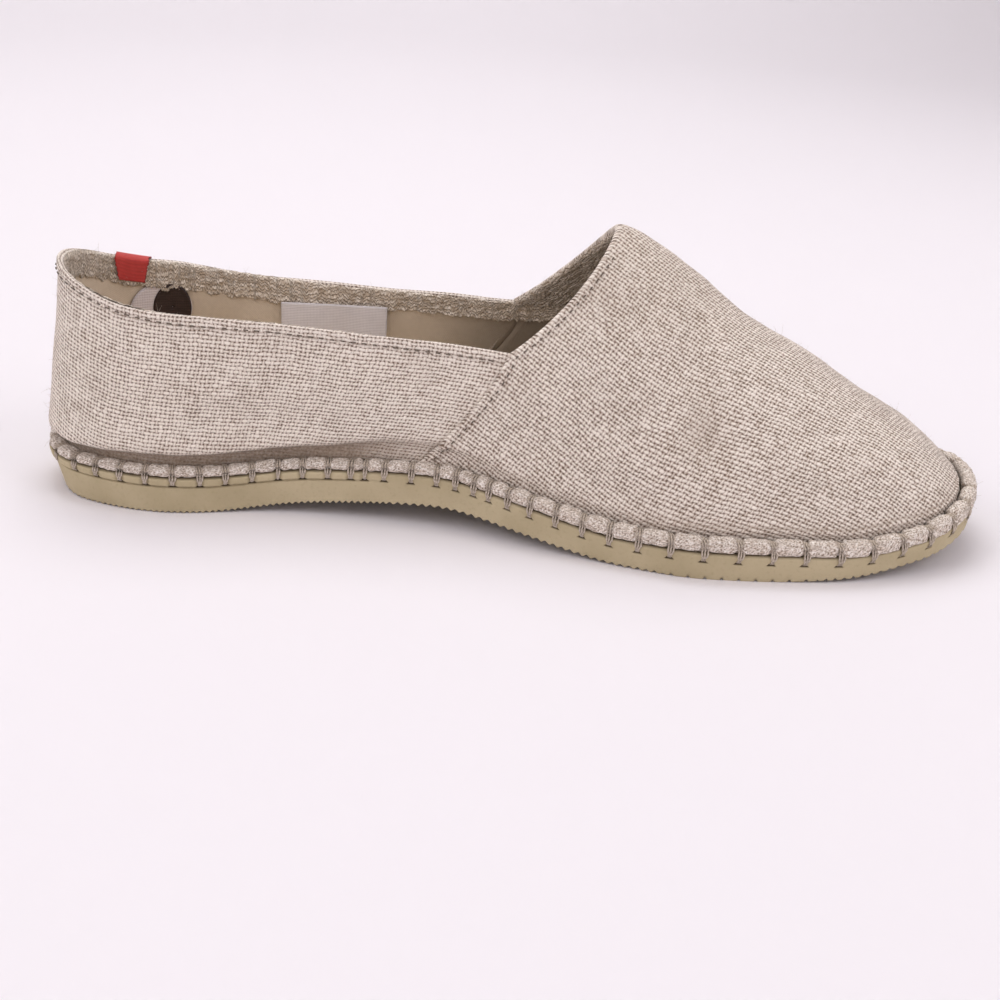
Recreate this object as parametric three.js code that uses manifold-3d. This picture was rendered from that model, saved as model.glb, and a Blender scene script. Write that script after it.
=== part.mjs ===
// Slip-on espadrille, left shoe. Millimetres, +X from heel to toe, +Y to the outer side, +Z up.
// A flat rubber outsole carries a cord welt round its edge. The cloth upper stands inside the cord and
// is open at the collar and underneath, where the outsole closes it and an insole lies on the rubber.
import * as THREE from "three";
import { mergeVertices } from "three/addons/utils/BufferGeometryUtils.js";
import Module from "manifold-3d";

// Driving dimensions
const LENGTH = 300; // outsole, heel to toe
const BALL_WIDTH = 108; // outsole, at its widest
const INSTEP_HEIGHT = 92; // floor to the top of the throat
const HEEL_HEIGHT = 74; // floor to the collar at the back of the heel
const CORNER_HEIGHT = 57.2; // floor to the collar where it meets the throat
const WALL = 1.8; // cloth and lining of the upper
const INSOLE = 3; // thickness
const INSOLE_CLEARANCE = 0.5; // between the insole's edge and the upper
const INSOLE_TOE_CLEARANCE = 5; // more room at the toe, where the upper's wall leans in
const SEAT_GAP = 0.3; // left between pieces that lie on each other

// Outsole seen from above. at: share of the length; inner, outer: half widths as shares of BALL_WIDTH
const SOLE_PLAN = [
  { at: 0.0, inner: 0.0, outer: 0.0 },
  { at: 0.04, inner: 0.22, outer: 0.212 },
  { at: 0.13, inner: 0.283, outer: 0.335 },
  { at: 0.27, inner: 0.227, outer: 0.34 },
  { at: 0.42, inner: 0.262, outer: 0.398 },
  { at: 0.56, inner: 0.398, outer: 0.461 },
  { at: 0.7, inner: 0.49, outer: 0.507 },
  { at: 0.82, inner: 0.466, outer: 0.463 },
  { at: 0.92, inner: 0.375, outer: 0.341 },
  { at: 0.975, inner: 0.245, outer: 0.231 },
  { at: 1.0, inner: 0.0, outer: 0.0 },
];

// Outsole seen from the side. lift: underside above the floor, with arch and toe spring; rubber: thickness
const SOLE_PROFILE = [
  { at: 0.0, lift: 0.6, rubber: 12.8 },
  { at: 0.05, lift: 0.0, rubber: 12.6 },
  { at: 0.17, lift: 0.0, rubber: 12.1 },
  { at: 0.3, lift: 4.3, rubber: 11.5 },
  { at: 0.42, lift: 6.8, rubber: 10.5 },
  { at: 0.52, lift: 3.6, rubber: 9.7 },
  { at: 0.62, lift: 0.0, rubber: 9.0 },
  { at: 0.84, lift: 0.0, rubber: 8.6 },
  { at: 0.93, lift: 3.3, rubber: 8.2 },
  { at: 1.0, lift: 9.5, rubber: 7.7 },
];

// Cross sections of the last. at: share of its own length; crest: height of the section's top as a share
// of INSTEP_HEIGHT, imagined above the collar where the shoe is open; ridge: sideways place of that top;
// bulge: how far the cloth rolls out over the cord; power: 2 for an ellipse, less for a tent.
const LAST_SECTIONS = [
  { at: 0.0, crest: 1.63, ridge: 0, bulge: 5.5, power: 1.9 },
  { at: 0.12, crest: 1.63, ridge: 3, bulge: 5.0, power: 1.9 },
  { at: 0.29, crest: 1.3, ridge: 4, bulge: 4.5, power: 1.9 },
  { at: 0.41, crest: 1.07, ridge: 4.5, bulge: 3.5, power: 1.8 },
  { at: 0.49, crest: 1.01, ridge: 4.5, bulge: 1.6, power: 1.7 },
  { at: 0.55, crest: 1.005, ridge: 4.5, bulge: 1.0, power: 1.65 },
  { at: 0.6, crest: 1.0, ridge: 4, bulge: 0.8, power: 1.65 },
  { at: 0.638, crest: 0.96, ridge: 3.5, bulge: 0.8, power: 1.65 },
  { at: 0.689, crest: 0.863, ridge: 3, bulge: 0.8, power: 1.7 },
  { at: 0.748, crest: 0.728, ridge: 2, bulge: 0.8, power: 1.75 },
  { at: 0.81, crest: 0.626, ridge: 1, bulge: 0.8, power: 1.8 },
  { at: 0.878, crest: 0.497, ridge: -1, bulge: 0.8, power: 1.9 },
  { at: 0.933, crest: 0.402, ridge: -3, bulge: 0.8, power: 2.0 },
  { at: 0.974, crest: 0.3, ridge: -3, bulge: 0.5, power: 2.1 },
  { at: 1.0, crest: 0.19, ridge: 0, bulge: 0.0, power: 2.2 },
];

// Collar seen from the side. at: share of LENGTH; drop: below HEEL_HEIGHT, as a share of the whole fall
// from the heel to the corner of the throat
const COLLAR_LINE = [
  { at: 0.013, drop: 0.0 },
  { at: 0.1, drop: 0.53 },
  { at: 0.25, drop: 0.78 },
  { at: 0.4, drop: 0.93 },
  { at: 0.492, drop: 1.0 },
];
const CORNER_AT = 0.492; // where the collar meets the throat, as a share of LENGTH
const PEAK_AT = 0.597; // top of the throat

// Cord welt
const CORD_WIDTH = 4.1;
const CORD_HEIGHT = 4.8;
const CORD_INSET = 0.2; // from the outsole's edge to the cord
const CORD_SIDES = 10;

// The upper stands behind the cord
const FEATHER_INSET = CORD_INSET + CORD_WIDTH + SEAT_GAP;
const ROLL_RISE = 4; // height over which the cloth rolls out above the cord
const ROLL_FADE = 65; // height at which the roll has gone

// Outsole edge, from the underside up: inset from the plan, and height from the underside or the top
const UNDERSIDE_INSET = 2;
const FOOT_INSET = 1;
const EDGE_ROUND = 0.8;
const HEEL_RAKE = 3.4; // the back of the heel slopes in under the shoe by this much
const RAKE_FADE = 8; // power that keeps the rake at the heel

// Lugs: bars across the underside at the arch and the toe, parted by V grooves
const LUG_PITCH = 5.2;
const GROOVE_DEPTH = 1.2;
const LUG_ZONES = [
  { from: 0.36, to: 0.54 },
  { from: 0.88, to: 0.96 },
];

// Ribbon tab folded over the outer collar near the heel
const TAB_FROM = 0.057; // share of LENGTH
const TAB_TO = 0.089;
const TAB_DROP = 9.5; // how far it hangs down on both faces
const TAB_THICKNESS = 1;
const TAB_STEPS = 4;

// How finely the forms are cut
const SOLE_STEPS = 56;
const CORD_STEPS = 52;
const INSOLE_STEPS = 32;
const QUARTER_STEPS = 26;
const THROAT_STEPS = 6;
const VAMP_STEPS = 24;
const WALL_ROWS = 13;

const INNER = -1;
const OUTER = 1;

// Round ends: equal steps of u crowd together at heel and toe, so widths that grow evenly with u are arcs
const shareAt = (u) => (1 - Math.cos(Math.PI * u)) / 2;
const roundAt = (share) => Math.acos(1 - 2 * THREE.MathUtils.clamp(share, 0, 1)) / Math.PI;

// A smooth curve through a table's rows that never overshoots them (monotone cubic).
function smoothColumn(rows, column, place = (at) => at) {
  const x = rows.map((row) => place(row.at));
  const y = rows.map((row) => row[column]);
  const last = x.length - 1;
  const step = (i) => x[i + 1] - x[i];
  const rise = (i) => (y[i + 1] - y[i]) / step(i);
  const endSlope = (i, j) => {
    const slope = ((2 * step(i) + step(j)) * rise(i) - step(i) * rise(j)) / (step(i) + step(j));
    if (slope * rise(i) <= 0) return 0;
    if (rise(i) * rise(j) <= 0 && Math.abs(slope) > 3 * Math.abs(rise(i))) return 3 * rise(i);
    return slope;
  };
  const slopes = x.map((_, i) => {
    if (i === 0) return endSlope(0, 1);
    if (i === last) return endSlope(last - 1, last - 2);
    const before = rise(i - 1);
    const after = rise(i);
    if (before * after <= 0) return 0;
    const a = 2 * step(i) + step(i - 1);
    const b = step(i) + 2 * step(i - 1);
    return (a + b) / (a / before + b / after);
  });
  return (at) => {
    const v = THREE.MathUtils.clamp(place(at), x[0], x[last]);
    let i = 0;
    while (i < last - 1 && v > x[i + 1]) i += 1;
    const h = step(i);
    const s = (v - x[i]) / h;
    const start = y[i] * (1 + 2 * s) * (1 - s) ** 2 + slopes[i] * h * s * (1 - s) ** 2;
    const end = y[i + 1] * s * s * (3 - 2 * s) + slopes[i + 1] * h * s * s * (s - 1);
    return start + end;
  };
}

const innerHalf = smoothColumn(SOLE_PLAN, "inner", roundAt);
const outerHalf = smoothColumn(SOLE_PLAN, "outer", roundAt);
const liftAt = smoothColumn(SOLE_PROFILE, "lift");
const rubberAt = smoothColumn(SOLE_PROFILE, "rubber");
const crestAt = smoothColumn(LAST_SECTIONS, "crest", roundAt);
const ridgeAt = smoothColumn(LAST_SECTIONS, "ridge", roundAt);
const bulgeAt = smoothColumn(LAST_SECTIONS, "bulge", roundAt);
const powerAt = smoothColumn(LAST_SECTIONS, "power", roundAt);
const collarDrop = smoothColumn(COLLAR_LINE, "drop");

const underside = (x) => liftAt(x / LENGTH);
const rubberTop = (x) => underside(x) + rubberAt(x / LENGTH);

// The way out of a plan curve at u. Just past heel and toe the curve goes on along the other side.
function wayOut(edge, side, u) {
  const small = 1e-3;
  const at = (v) => {
    if (v < 0) return edge(-side, -v);
    return v > 1 ? edge(-side, 2 - v) : edge(side, v);
  };
  const along = at(u + small).sub(at(u - small)).normalize();
  return new THREE.Vector2(-side * along.y, side * along.x);
}

function planEdge(side, u) {
  const share = shareAt(u);
  const half = side === INNER ? innerHalf(share) : outerHalf(share);
  return new THREE.Vector2(LENGTH * share, side * BALL_WIDTH * half);
}

// A point of the outsole's plan at u, moved in from the edge, and the way out from there.
function planPoint(side, u, inset) {
  const out = wayOut(planEdge, side, u);
  return { point: planEdge(side, u).addScaledVector(out, -inset), out };
}

// Once round the plan: heel to toe on the inner side and back on the outer side.
function planRing(steps, inset) {
  const inner = [...Array(steps + 1).keys()].map((i) => planPoint(INNER, i / steps, inset));
  const outer = [...Array(steps - 1).keys()].map((i) => planPoint(OUTER, 1 - (i + 1) / steps, inset));
  return [...inner, ...outer];
}

// A closed geometry from triangles of points: equal points are shared and collapsed triangles dropped.
function closedGeometry(triangles) {
  const loose = new THREE.BufferGeometry().setFromPoints(triangles.flat());
  const merged = mergeVertices(loose, 1e-4);
  const index = [];
  for (let i = 0; i < merged.index.count; i += 3) {
    const [a, b, c] = [0, 1, 2].map((k) => merged.index.getX(i + k));
    if (a !== b && b !== c && c !== a) index.push(a, b, c);
  }
  merged.setIndex(index);
  return merged;
}

// Two triangles for each cell between neighbouring rows of points. A closed row joins its own ends.
function skin(rows, closed) {
  const triangles = [];
  for (let i = 0; i < rows.length - 1; i += 1) {
    const count = rows[i].length;
    for (let j = 0; j < (closed ? count : count - 1); j += 1) {
      const k = (j + 1) % count;
      triangles.push([rows[i][j], rows[i][k], rows[i + 1][k]]);
      triangles.push([rows[i][j], rows[i + 1][k], rows[i + 1][j]]);
    }
  }
  return triangles;
}

const flipped = (triangles) => triangles.map(([a, b, c]) => [a, c, b]);

// The flat lid inside a plan ring: strips straight across the shoe.
function lid(ring) {
  const steps = ring.length / 2;
  const triangles = [];
  for (let i = 0; i < steps; i += 1) {
    const across = (k) => ring[(ring.length - k) % ring.length];
    triangles.push([ring[i], ring[i + 1], across(i + 1)]);
    triangles.push([ring[i], across(i + 1), across(i)]);
  }
  return triangles;
}

// A plate from plan rings, listed from the lowest to the highest.
function plateGeometry(rings) {
  const top = rings[rings.length - 1];
  return closedGeometry([...flipped(lid(rings[0])), ...skin(rings, true), ...lid(top)]);
}

// ---- Outsole ----
function soleRing(inset, height, rake) {
  return planRing(SOLE_STEPS, inset).map(({ point }) => {
    const back = rake * HEEL_RAKE * (1 - point.x / LENGTH) ** RAKE_FADE;
    const x = point.x + back;
    return new THREE.Vector3(x, point.y, height(x));
  });
}

function solidFrom(wasm, geometry) {
  const bare = geometry.clone();
  bare.deleteAttribute("normal");
  bare.deleteAttribute("uv");
  const merged = mergeVertices(bare, 1e-4);
  return new wasm.Manifold(
    new wasm.Mesh({
      numProp: 3,
      vertProperties: merged.attributes.position.array,
      triVerts: new Uint32Array(merged.index.array),
    }),
  );
}

function geometryFrom(solid) {
  const mesh = solid.getMesh();
  const geometry = new THREE.BufferGeometry();
  geometry.setAttribute("position", new THREE.BufferAttribute(mesh.vertProperties, 3));
  geometry.setIndex(new THREE.BufferAttribute(mesh.triVerts, 1));
  return geometry;
}

function outsoleGeometry(wasm) {
  const rings = [
    soleRing(UNDERSIDE_INSET, underside, 1),
    soleRing(FOOT_INSET, (x) => underside(x) + EDGE_ROUND, 1),
    soleRing(0, (x) => rubberTop(x) - EDGE_ROUND, 0),
    soleRing(EDGE_ROUND, rubberTop, 0),
  ];
  let sole = solidFrom(wasm, plateGeometry(rings));
  // A square bar on its edge, half sunk into the underside, leaves a V groove as deep as half its diagonal.
  const bar = GROOVE_DEPTH * Math.SQRT2;
  for (const zone of LUG_ZONES) {
    const grooves = Math.floor(((zone.to - zone.from) * LENGTH) / LUG_PITCH);
    for (let i = 0; i <= grooves; i += 1) {
      const x = zone.from * LENGTH + i * LUG_PITCH;
      const groove = new THREE.BoxGeometry(bar, 2 * BALL_WIDTH, bar);
      groove.rotateY(Math.PI / 4);
      groove.translate(x, 0, underside(x));
      sole = sole.subtract(solidFrom(wasm, groove));
    }
  }
  return geometryFrom(sole);
}

// ---- Cord welt: an oval cord lying round the edge of the rubber ----
function cordGeometry() {
  const around = planRing(CORD_STEPS, CORD_INSET + CORD_WIDTH / 2);
  const rows = around.map(({ point, out }) => {
    const base = rubberTop(point.x) + SEAT_GAP;
    return [...Array(CORD_SIDES).keys()].map((k) => {
      const angle = (2 * Math.PI * (k + 0.5)) / CORD_SIDES;
      const place = point.clone().addScaledVector(out, (CORD_WIDTH / 2) * Math.cos(angle));
      const height = base + (CORD_HEIGHT / 2) * (1 + Math.sin(angle));
      return new THREE.Vector3(place.x, place.y, height);
    });
  });
  return closedGeometry(flipped(skin([...rows, rows[0]], true)));
}

// ---- Upper ----
// The plan curve on one side of the last at a given inset, as a function of x.
function featherEdge(side, inset) {
  const samples = 400;
  const points = [...Array(samples + 1).keys()].map((i) => planPoint(side, i / samples, inset).point);
  const heelX = points[0].x;
  const toeX = points[samples].x;
  const yAt = (x) => {
    let i = Math.floor(roundAt((x - heelX) / (toeX - heelX)) * samples);
    i = THREE.MathUtils.clamp(i, 0, samples - 1);
    while (i > 0 && points[i].x > x) i -= 1;
    while (i < samples - 1 && points[i + 1].x < x) i += 1;
    const share = (x - points[i].x) / (points[i + 1].x - points[i].x);
    return THREE.MathUtils.lerp(points[i].y, points[i + 1].y, THREE.MathUtils.clamp(share, 0, 1));
  };
  return { heelX, toeX, yAt };
}

// A last: the form that one face of the upper lies on, depth inside the outer face.
function makeLast(depth) {
  const inset = FEATHER_INSET + depth;
  const edges = { [INNER]: featherEdge(INNER, inset), [OUTER]: featherEdge(OUTER, inset) };
  const { heelX, toeX } = edges[INNER];
  const span = toeX - heelX;
  const edge = (side, u) => {
    const x = heelX + span * shareAt(u);
    return new THREE.Vector2(x, edges[side].yAt(x));
  };
  return { depth, heelX, span, edge };
}

// Height of the free edge: the collar, then the straight throat edge up to its top, then none.
function rimHeight(x) {
  const at = x / LENGTH;
  const fall = HEEL_HEIGHT - CORNER_HEIGHT;
  if (at <= CORNER_AT) return HEEL_HEIGHT - fall * collarDrop(at);
  if (at > PEAK_AT - 1e-6) return Infinity;
  const climb = (at - CORNER_AT) / (PEAK_AT - CORNER_AT);
  return THREE.MathUtils.lerp(CORNER_HEIGHT, INSTEP_HEIGHT, climb);
}

// A point of the last: side, u from heel to toe, t from the feather edge up to the free edge or the ridge.
// A section is a superellipse from the plan curve up to its crest.
function lastPoint(last, side, u, t) {
  const share = shareAt(u);
  const foot = last.edge(side, u);
  const base = rubberTop(foot.x) + SEAT_GAP;
  const tall = Math.max(INSTEP_HEIGHT * crestAt(share) - last.depth - base, 0.05);
  const power = powerAt(share);
  const free = THREE.MathUtils.clamp(rimHeight(foot.x) - base, 0, tall);
  const angle = Math.asin((free / tall) ** (power / 2)) * t;
  const height = tall * Math.sin(angle) ** (2 / power);
  const spread = Math.cos(angle) < 1e-9 ? 0 : Math.cos(angle) ** (2 / power);
  const ridge = ridgeAt(share);
  const y = ridge + (foot.y - ridge) * spread;
  const above = Math.max(height - CORD_HEIGHT, 0);
  const rolled = 1 - Math.exp(-((above / ROLL_RISE) ** 2));
  const roll = bulgeAt(share) * rolled * Math.max(1 - height / ROLL_FADE, 0) * spread;
  const out = wayOut(last.edge, side, u);
  return new THREE.Vector3(foot.x + roll * out.x, y + roll * out.y, base + height);
}

// Stations from heel to toe that hit the throat's corner and top exactly.
function lastStations(last) {
  const roundOf = (at) => roundAt((at * LENGTH - last.heelX) / last.span);
  const corner = roundOf(CORNER_AT);
  const peak = roundOf(PEAK_AT);
  const even = (from, to, steps) => [...Array(steps).keys()].map((i) => from + ((to - from) * i) / steps);
  return [...even(0, corner, QUARTER_STEPS), ...even(corner, peak, THROAT_STEPS), ...even(peak, 1, VAMP_STEPS), 1];
}

function upperGeometry() {
  const outside = makeLast(0);
  const inside = makeLast(WALL);
  const stations = lastStations(outside);
  const peakIndex = QUARTER_STEPS + THROAT_STEPS;
  const rowsOf = (last, side) =>
    stations.map((u) => [...Array(WALL_ROWS + 1).keys()].map((j) => lastPoint(last, side, u, j / WALL_ROWS)));
  const triangles = [];
  for (const side of [INNER, OUTER]) {
    const face = rowsOf(outside, side);
    const lining = rowsOf(inside, side);
    const hem = face.map((row, i) => [row[0], lining[i][0]]);
    const rim = face.slice(0, peakIndex + 1).map((row, i) => [lining[i][WALL_ROWS], row[WALL_ROWS]]);
    const shell = [...skin(face, false), ...flipped(skin(lining, false)), ...flipped(skin(hem, false))];
    shell.push(...flipped(skin(rim, false)));
    triangles.push(...(side === OUTER ? shell : flipped(shell)));
  }
  return closedGeometry(triangles);
}

// ---- Insole: a plate on the rubber, inside the upper, with a bevelled edge that clears the toe ----
function insoleGeometry() {
  const ring = (inset, height) =>
    planRing(INSOLE_STEPS, inset).map(({ point }) => {
      const x = point.x - INSOLE_TOE_CLEARANCE * (point.x / LENGTH) ** RAKE_FADE;
      return new THREE.Vector3(x, point.y, rubberTop(x) + height);
    });
  const clear = FEATHER_INSET + WALL + INSOLE_CLEARANCE;
  return plateGeometry([ring(clear, SEAT_GAP), ring(clear + SEAT_GAP, SEAT_GAP + INSOLE)]);
}

// ---- Side tab: ribbon folded over the outer collar, following the upper's own two faces ----
function tabGeometry() {
  const outside = makeLast(-SEAT_GAP);
  const outsideFar = makeLast(-SEAT_GAP - TAB_THICKNESS);
  const inside = makeLast(WALL + SEAT_GAP);
  const insideFar = makeLast(WALL + SEAT_GAP + TAB_THICKNESS);
  const legs = 3; // rows down each leg
  const roundOf = (at) => roundAt((at * LENGTH - outside.heelX) / outside.span);
  // The point of a last that is a given drop below the free edge, closed in on by steps of t.
  const pointAt = (last, u, drop) => {
    const whole = lastPoint(last, OUTER, u, 1).z - lastPoint(last, OUTER, u, 0).z;
    const passes = 12;
    let t = 1;
    for (let pass = 0; pass < passes; pass += 1) {
      const below = lastPoint(last, OUTER, u, 1).z - lastPoint(last, OUTER, u, t).z;
      t *= 1 + (below - drop) / whole;
    }
    return lastPoint(last, OUTER, u, t);
  };
  const raised = (point, height) => new THREE.Vector3(point.x, point.y, point.z + height);
  const rows = [...Array(TAB_STEPS + 1).keys()].map((i) => {
    const u = THREE.MathUtils.lerp(roundOf(TAB_FROM), roundOf(TAB_TO), i / TAB_STEPS);
    const down = [...Array(legs + 1).keys()].map((k) => (TAB_DROP * k) / legs);
    const leg = (last) => down.map((drop) => pointAt(last, u, drop));
    const topOf = (last) => pointAt(last, u, 0);
    return [
      ...leg(outsideFar).reverse(),
      raised(topOf(outsideFar), SEAT_GAP + TAB_THICKNESS),
      raised(topOf(insideFar), SEAT_GAP + TAB_THICKNESS),
      ...leg(insideFar),
      ...leg(inside).reverse(),
      raised(topOf(inside), SEAT_GAP),
      raised(topOf(outside), SEAT_GAP),
      ...leg(outside),
    ];
  });
  // The ends are flat U shapes, filled as an outline in their own plane.
  const outline = rows[0].map((point) => new THREE.Vector2(point.y, point.z));
  const faces = THREE.ShapeUtils.triangulateShape(outline, []);
  const end = (row) => faces.map((face) => face.map((k) => row[k]));
  const sides = skin(rows, true);
  const clockwise = THREE.ShapeUtils.isClockWise(outline);
  const near = clockwise ? end(rows[0]) : flipped(end(rows[0]));
  const far = clockwise ? flipped(end(rows[TAB_STEPS])) : end(rows[TAB_STEPS]);
  return closedGeometry([...(clockwise ? flipped(sides) : sides), ...near, ...far]);
}

function piece(name, geometry, colour, roughness) {
  geometry.computeVertexNormals();
  const material = new THREE.MeshStandardMaterial({ color: colour, roughness, metalness: 0 });
  const mesh = new THREE.Mesh(geometry, material);
  mesh.name = name;
  return mesh;
}

const wasm = await Module();
wasm.setup();

const shoe = new THREE.Group();
shoe.add(piece("outsole", outsoleGeometry(wasm), "#b5a383", 0.6));
shoe.add(piece("cord_welt", cordGeometry(), "#c3b8aa", 0.95));
shoe.add(piece("upper", upperGeometry(), "#c6bcb1", 0.95));
shoe.add(piece("insole", insoleGeometry(), "#9a8f78", 0.9));
shoe.add(piece("side_tab", tabGeometry(), "#b3302b", 0.85));

// The part's origin is the middle of its footprint box, on the floor.
const box = new THREE.Box3().setFromObject(shoe);
const middle = box.getCenter(new THREE.Vector3());
shoe.position.set(-middle.x, -middle.y, -box.min.z);

const part = new THREE.Group();
part.add(shoe);
export default part;
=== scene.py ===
# %% [markdown]
# # A slip-on espadrille, made piece by piece
# The shoe is a flat rubber sole with a linen-covered cord sewn round its edge, and a linen upper that
# stands inside the cord. The imported model fixes the size and the place of every part, so the first step
# loads it and keeps its box. The looks are then built around it.

# %% Load the fixed frame
import math
import bpy
import numpy as np
from mathutils import Euler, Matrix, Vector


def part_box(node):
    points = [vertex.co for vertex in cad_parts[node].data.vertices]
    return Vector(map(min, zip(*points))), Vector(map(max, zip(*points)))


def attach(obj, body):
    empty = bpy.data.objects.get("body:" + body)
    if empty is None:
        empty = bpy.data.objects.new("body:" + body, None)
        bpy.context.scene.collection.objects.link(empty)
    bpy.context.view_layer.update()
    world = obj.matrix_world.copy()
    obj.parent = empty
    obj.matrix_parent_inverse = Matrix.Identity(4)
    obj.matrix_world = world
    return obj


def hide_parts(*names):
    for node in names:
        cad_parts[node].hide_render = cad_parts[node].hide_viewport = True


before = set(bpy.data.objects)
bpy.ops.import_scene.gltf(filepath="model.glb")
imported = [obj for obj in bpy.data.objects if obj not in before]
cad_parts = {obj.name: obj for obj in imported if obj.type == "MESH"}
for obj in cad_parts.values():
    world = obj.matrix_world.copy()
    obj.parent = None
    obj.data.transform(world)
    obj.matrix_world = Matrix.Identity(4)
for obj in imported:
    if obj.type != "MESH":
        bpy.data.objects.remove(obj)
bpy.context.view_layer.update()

# %% [markdown]
# ## Camera
# The camera looks across the shoe from the inner side, a little from above, with the toe to the right.
# It is rolled a few degrees, so the sole runs slightly downhill. A 65 mm lens keeps the heel and the toe
# in nearly the same scale.

# %% Camera
CAMERA_PLACE = (-0.00302, -0.54668, 0.23601)
CAMERA_DOWN = 23.458  # degrees below level
CAMERA_ROLL = 3.77
LENS = 64.8  # mm on a 36 mm wide sensor


def set_camera():
    camera = bpy.data.objects.new("camera", bpy.data.cameras.new("camera"))
    camera.data.lens = LENS
    camera.data.sensor_width = 36
    camera.data.clip_start = 0.01
    bpy.context.scene.collection.objects.link(camera)
    tilt = Euler((math.radians(90 - CAMERA_DOWN), 0, 0)).to_matrix()
    roll = Euler((0, 0, math.radians(CAMERA_ROLL))).to_matrix()
    camera.matrix_world = (tilt @ roll).to_4x4()
    camera.location = CAMERA_PLACE
    bpy.context.scene.camera = camera


set_camera()
bpy.context.scene.view_settings.view_transform = "Standard"
print("camera at", CAMERA_PLACE)

# %% [markdown]
# ## Sizes of the shoe
# A shoemaker works from a few sizes: length, ball width, instep, heel height. The outlines are short
# tables, in shares of those sizes, with a smooth curve drawn through each column. Millimetres are kept
# here because they are the shoe's own measure. The points become metres when a mesh is made.

# %% Driving sizes and tables
LENGTH = 300
BALL_WIDTH = 108
INSTEP_HEIGHT = 92
HEEL_HEIGHT = 74
CORNER_HEIGHT = 57.2
WALL = 1.8
SEAT_GAP = 0.3
CORD_WIDTH = 4.1
CORD_HEIGHT = 4.8
CORD_INSET = 0.2
FEATHER_INSET = CORD_INSET + CORD_WIDTH + SEAT_GAP
ROLL_FADE = 65
CORNER_AT = 0.492
PEAK_AT = 0.597
THROAT_SAG = 2.6  # the free edge of the throat sags this far below a straight line

SOLE_PLAN = {
    "at": (0, 0.04, 0.13, 0.27, 0.42, 0.56, 0.7, 0.82, 0.92, 0.975, 1),
    "inner": (0, 0.22, 0.283, 0.227, 0.262, 0.398, 0.49, 0.466, 0.375, 0.245, 0),
    "outer": (0, 0.212, 0.335, 0.34, 0.398, 0.461, 0.507, 0.463, 0.341, 0.231, 0),
}
SOLE_PROFILE = {
    "at": (0, 0.05, 0.17, 0.3, 0.42, 0.52, 0.62, 0.84, 0.93, 1),
    "lift": (0.6, 0, 0, 4.3, 6.8, 3.6, 0, 0, 3.3, 9.5),
    "rubber": (12.8, 12.6, 12.1, 11.5, 10.5, 9.7, 9, 8.6, 8.2, 7.7),
}
LAST_SECTIONS = {
    "at": (0, 0.12, 0.29, 0.41, 0.49, 0.55, 0.6, 0.638, 0.689, 0.748, 0.81, 0.878, 0.933, 0.974, 1),
    "crest": (1.63, 1.63, 1.3, 1.07, 1.01, 1.005, 1, 0.96, 0.863, 0.728, 0.626, 0.497, 0.402, 0.3, 0.19),
    "ridge": (0, 3, 4, 4.5, 4.5, 4.5, 4, 3.5, 3, 2, 1, -1, -3, -3, 0),
    "bulge": (5.5, 5, 4.5, 3.5, 1.6, 1, 0.8, 0.8, 0.8, 0.8, 0.8, 0.8, 0.8, 0.5, 0),
    "power": (1.9, 1.9, 1.9, 1.8, 1.7, 1.65, 1.65, 1.65, 1.7, 1.75, 1.8, 1.9, 2, 2.1, 2.2),
}
# height above the cord at which the cloth folds out over it
FOLD_LINE = {
    "at": (0, 0.055, 0.14, 0.24, 0.3, 0.34, 0.38, 0.42, 0.5, 0.6, 1),
    "up": (0.2, 0.9, 2.1, 2.1, 2.5, 3.8, 5.0, 5.0, 2.2, 1.2, 0.9),
}
FOLD_SHARPNESS = 2.0  # how fast it folds out, per mm
COLLAR_LINE = {"at": (0.013, 0.1, 0.25, 0.4, 0.492), "drop": (0, 0.53, 0.78, 0.93, 1)}

MM = 0.001
low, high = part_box("outsole")
HEEL_X = low.x / MM
MIDDLE_Y = low.y / MM + BALL_WIDTH * max(SOLE_PLAN["inner"])


def in_metres(points):
    """From the shoe's millimetres, x from the heel, to the part's own frame in metres."""
    return (np.asarray(points, float) + (HEEL_X, MIDDLE_Y, 0)) * MM


print("heel at", round(HEEL_X, 2), "middle line at", round(MIDDLE_Y, 2))

# %% [markdown]
# ## Smooth curves and round ends
# A curve through the rows of a table must not swing past them, or the sole would grow waists of its own.
# A monotone cubic does that. The ends of the plan are round, so the tables are spaced by an angle
# instead of by x: equal steps crowd together at heel and toe, as they do along an arc.

# %% Curves
def share_at(u):
    return (1 - np.cos(np.pi * u)) / 2


def round_at(share):
    return np.arccos(1 - 2 * np.clip(share, 0, 1)) / np.pi


def end_slope(steps, rises):
    slope = ((2 * steps[0] + steps[1]) * rises[0] - steps[0] * rises[1]) / (steps[0] + steps[1])
    if slope * rises[0] <= 0:
        return 0
    if rises[0] * rises[1] <= 0 and abs(slope) > 3 * abs(rises[0]):
        return 3 * rises[0]
    return slope


def smooth_curve(x, y):
    x, y = np.array(x, float), np.array(y, float)
    step = np.diff(x)
    rise = np.diff(y) / step
    slopes = np.zeros_like(y)
    a, b = 2 * step[1:] + step[:-1], step[1:] + 2 * step[:-1]
    same_way = rise[:-1] * rise[1:] > 0
    before, after = np.where(same_way, rise[:-1], 1), np.where(same_way, rise[1:], 1)
    slopes[1:-1] = np.where(same_way, (a + b) / (a / before + b / after), 0)
    slopes[0] = end_slope(step, rise)
    slopes[-1] = end_slope(step[::-1], rise[::-1])

    def at(value):
        value = np.clip(value, x[0], x[-1])
        i = np.clip(np.searchsorted(x, value, side="right") - 1, 0, len(step) - 1)
        s = (value - x[i]) / step[i]
        start = y[i] * (1 + 2 * s) * (1 - s) ** 2 + slopes[i] * step[i] * s * (1 - s) ** 2
        return start + y[i + 1] * s * s * (3 - 2 * s) + slopes[i + 1] * step[i] * s * s * (s - 1)

    return at


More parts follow.
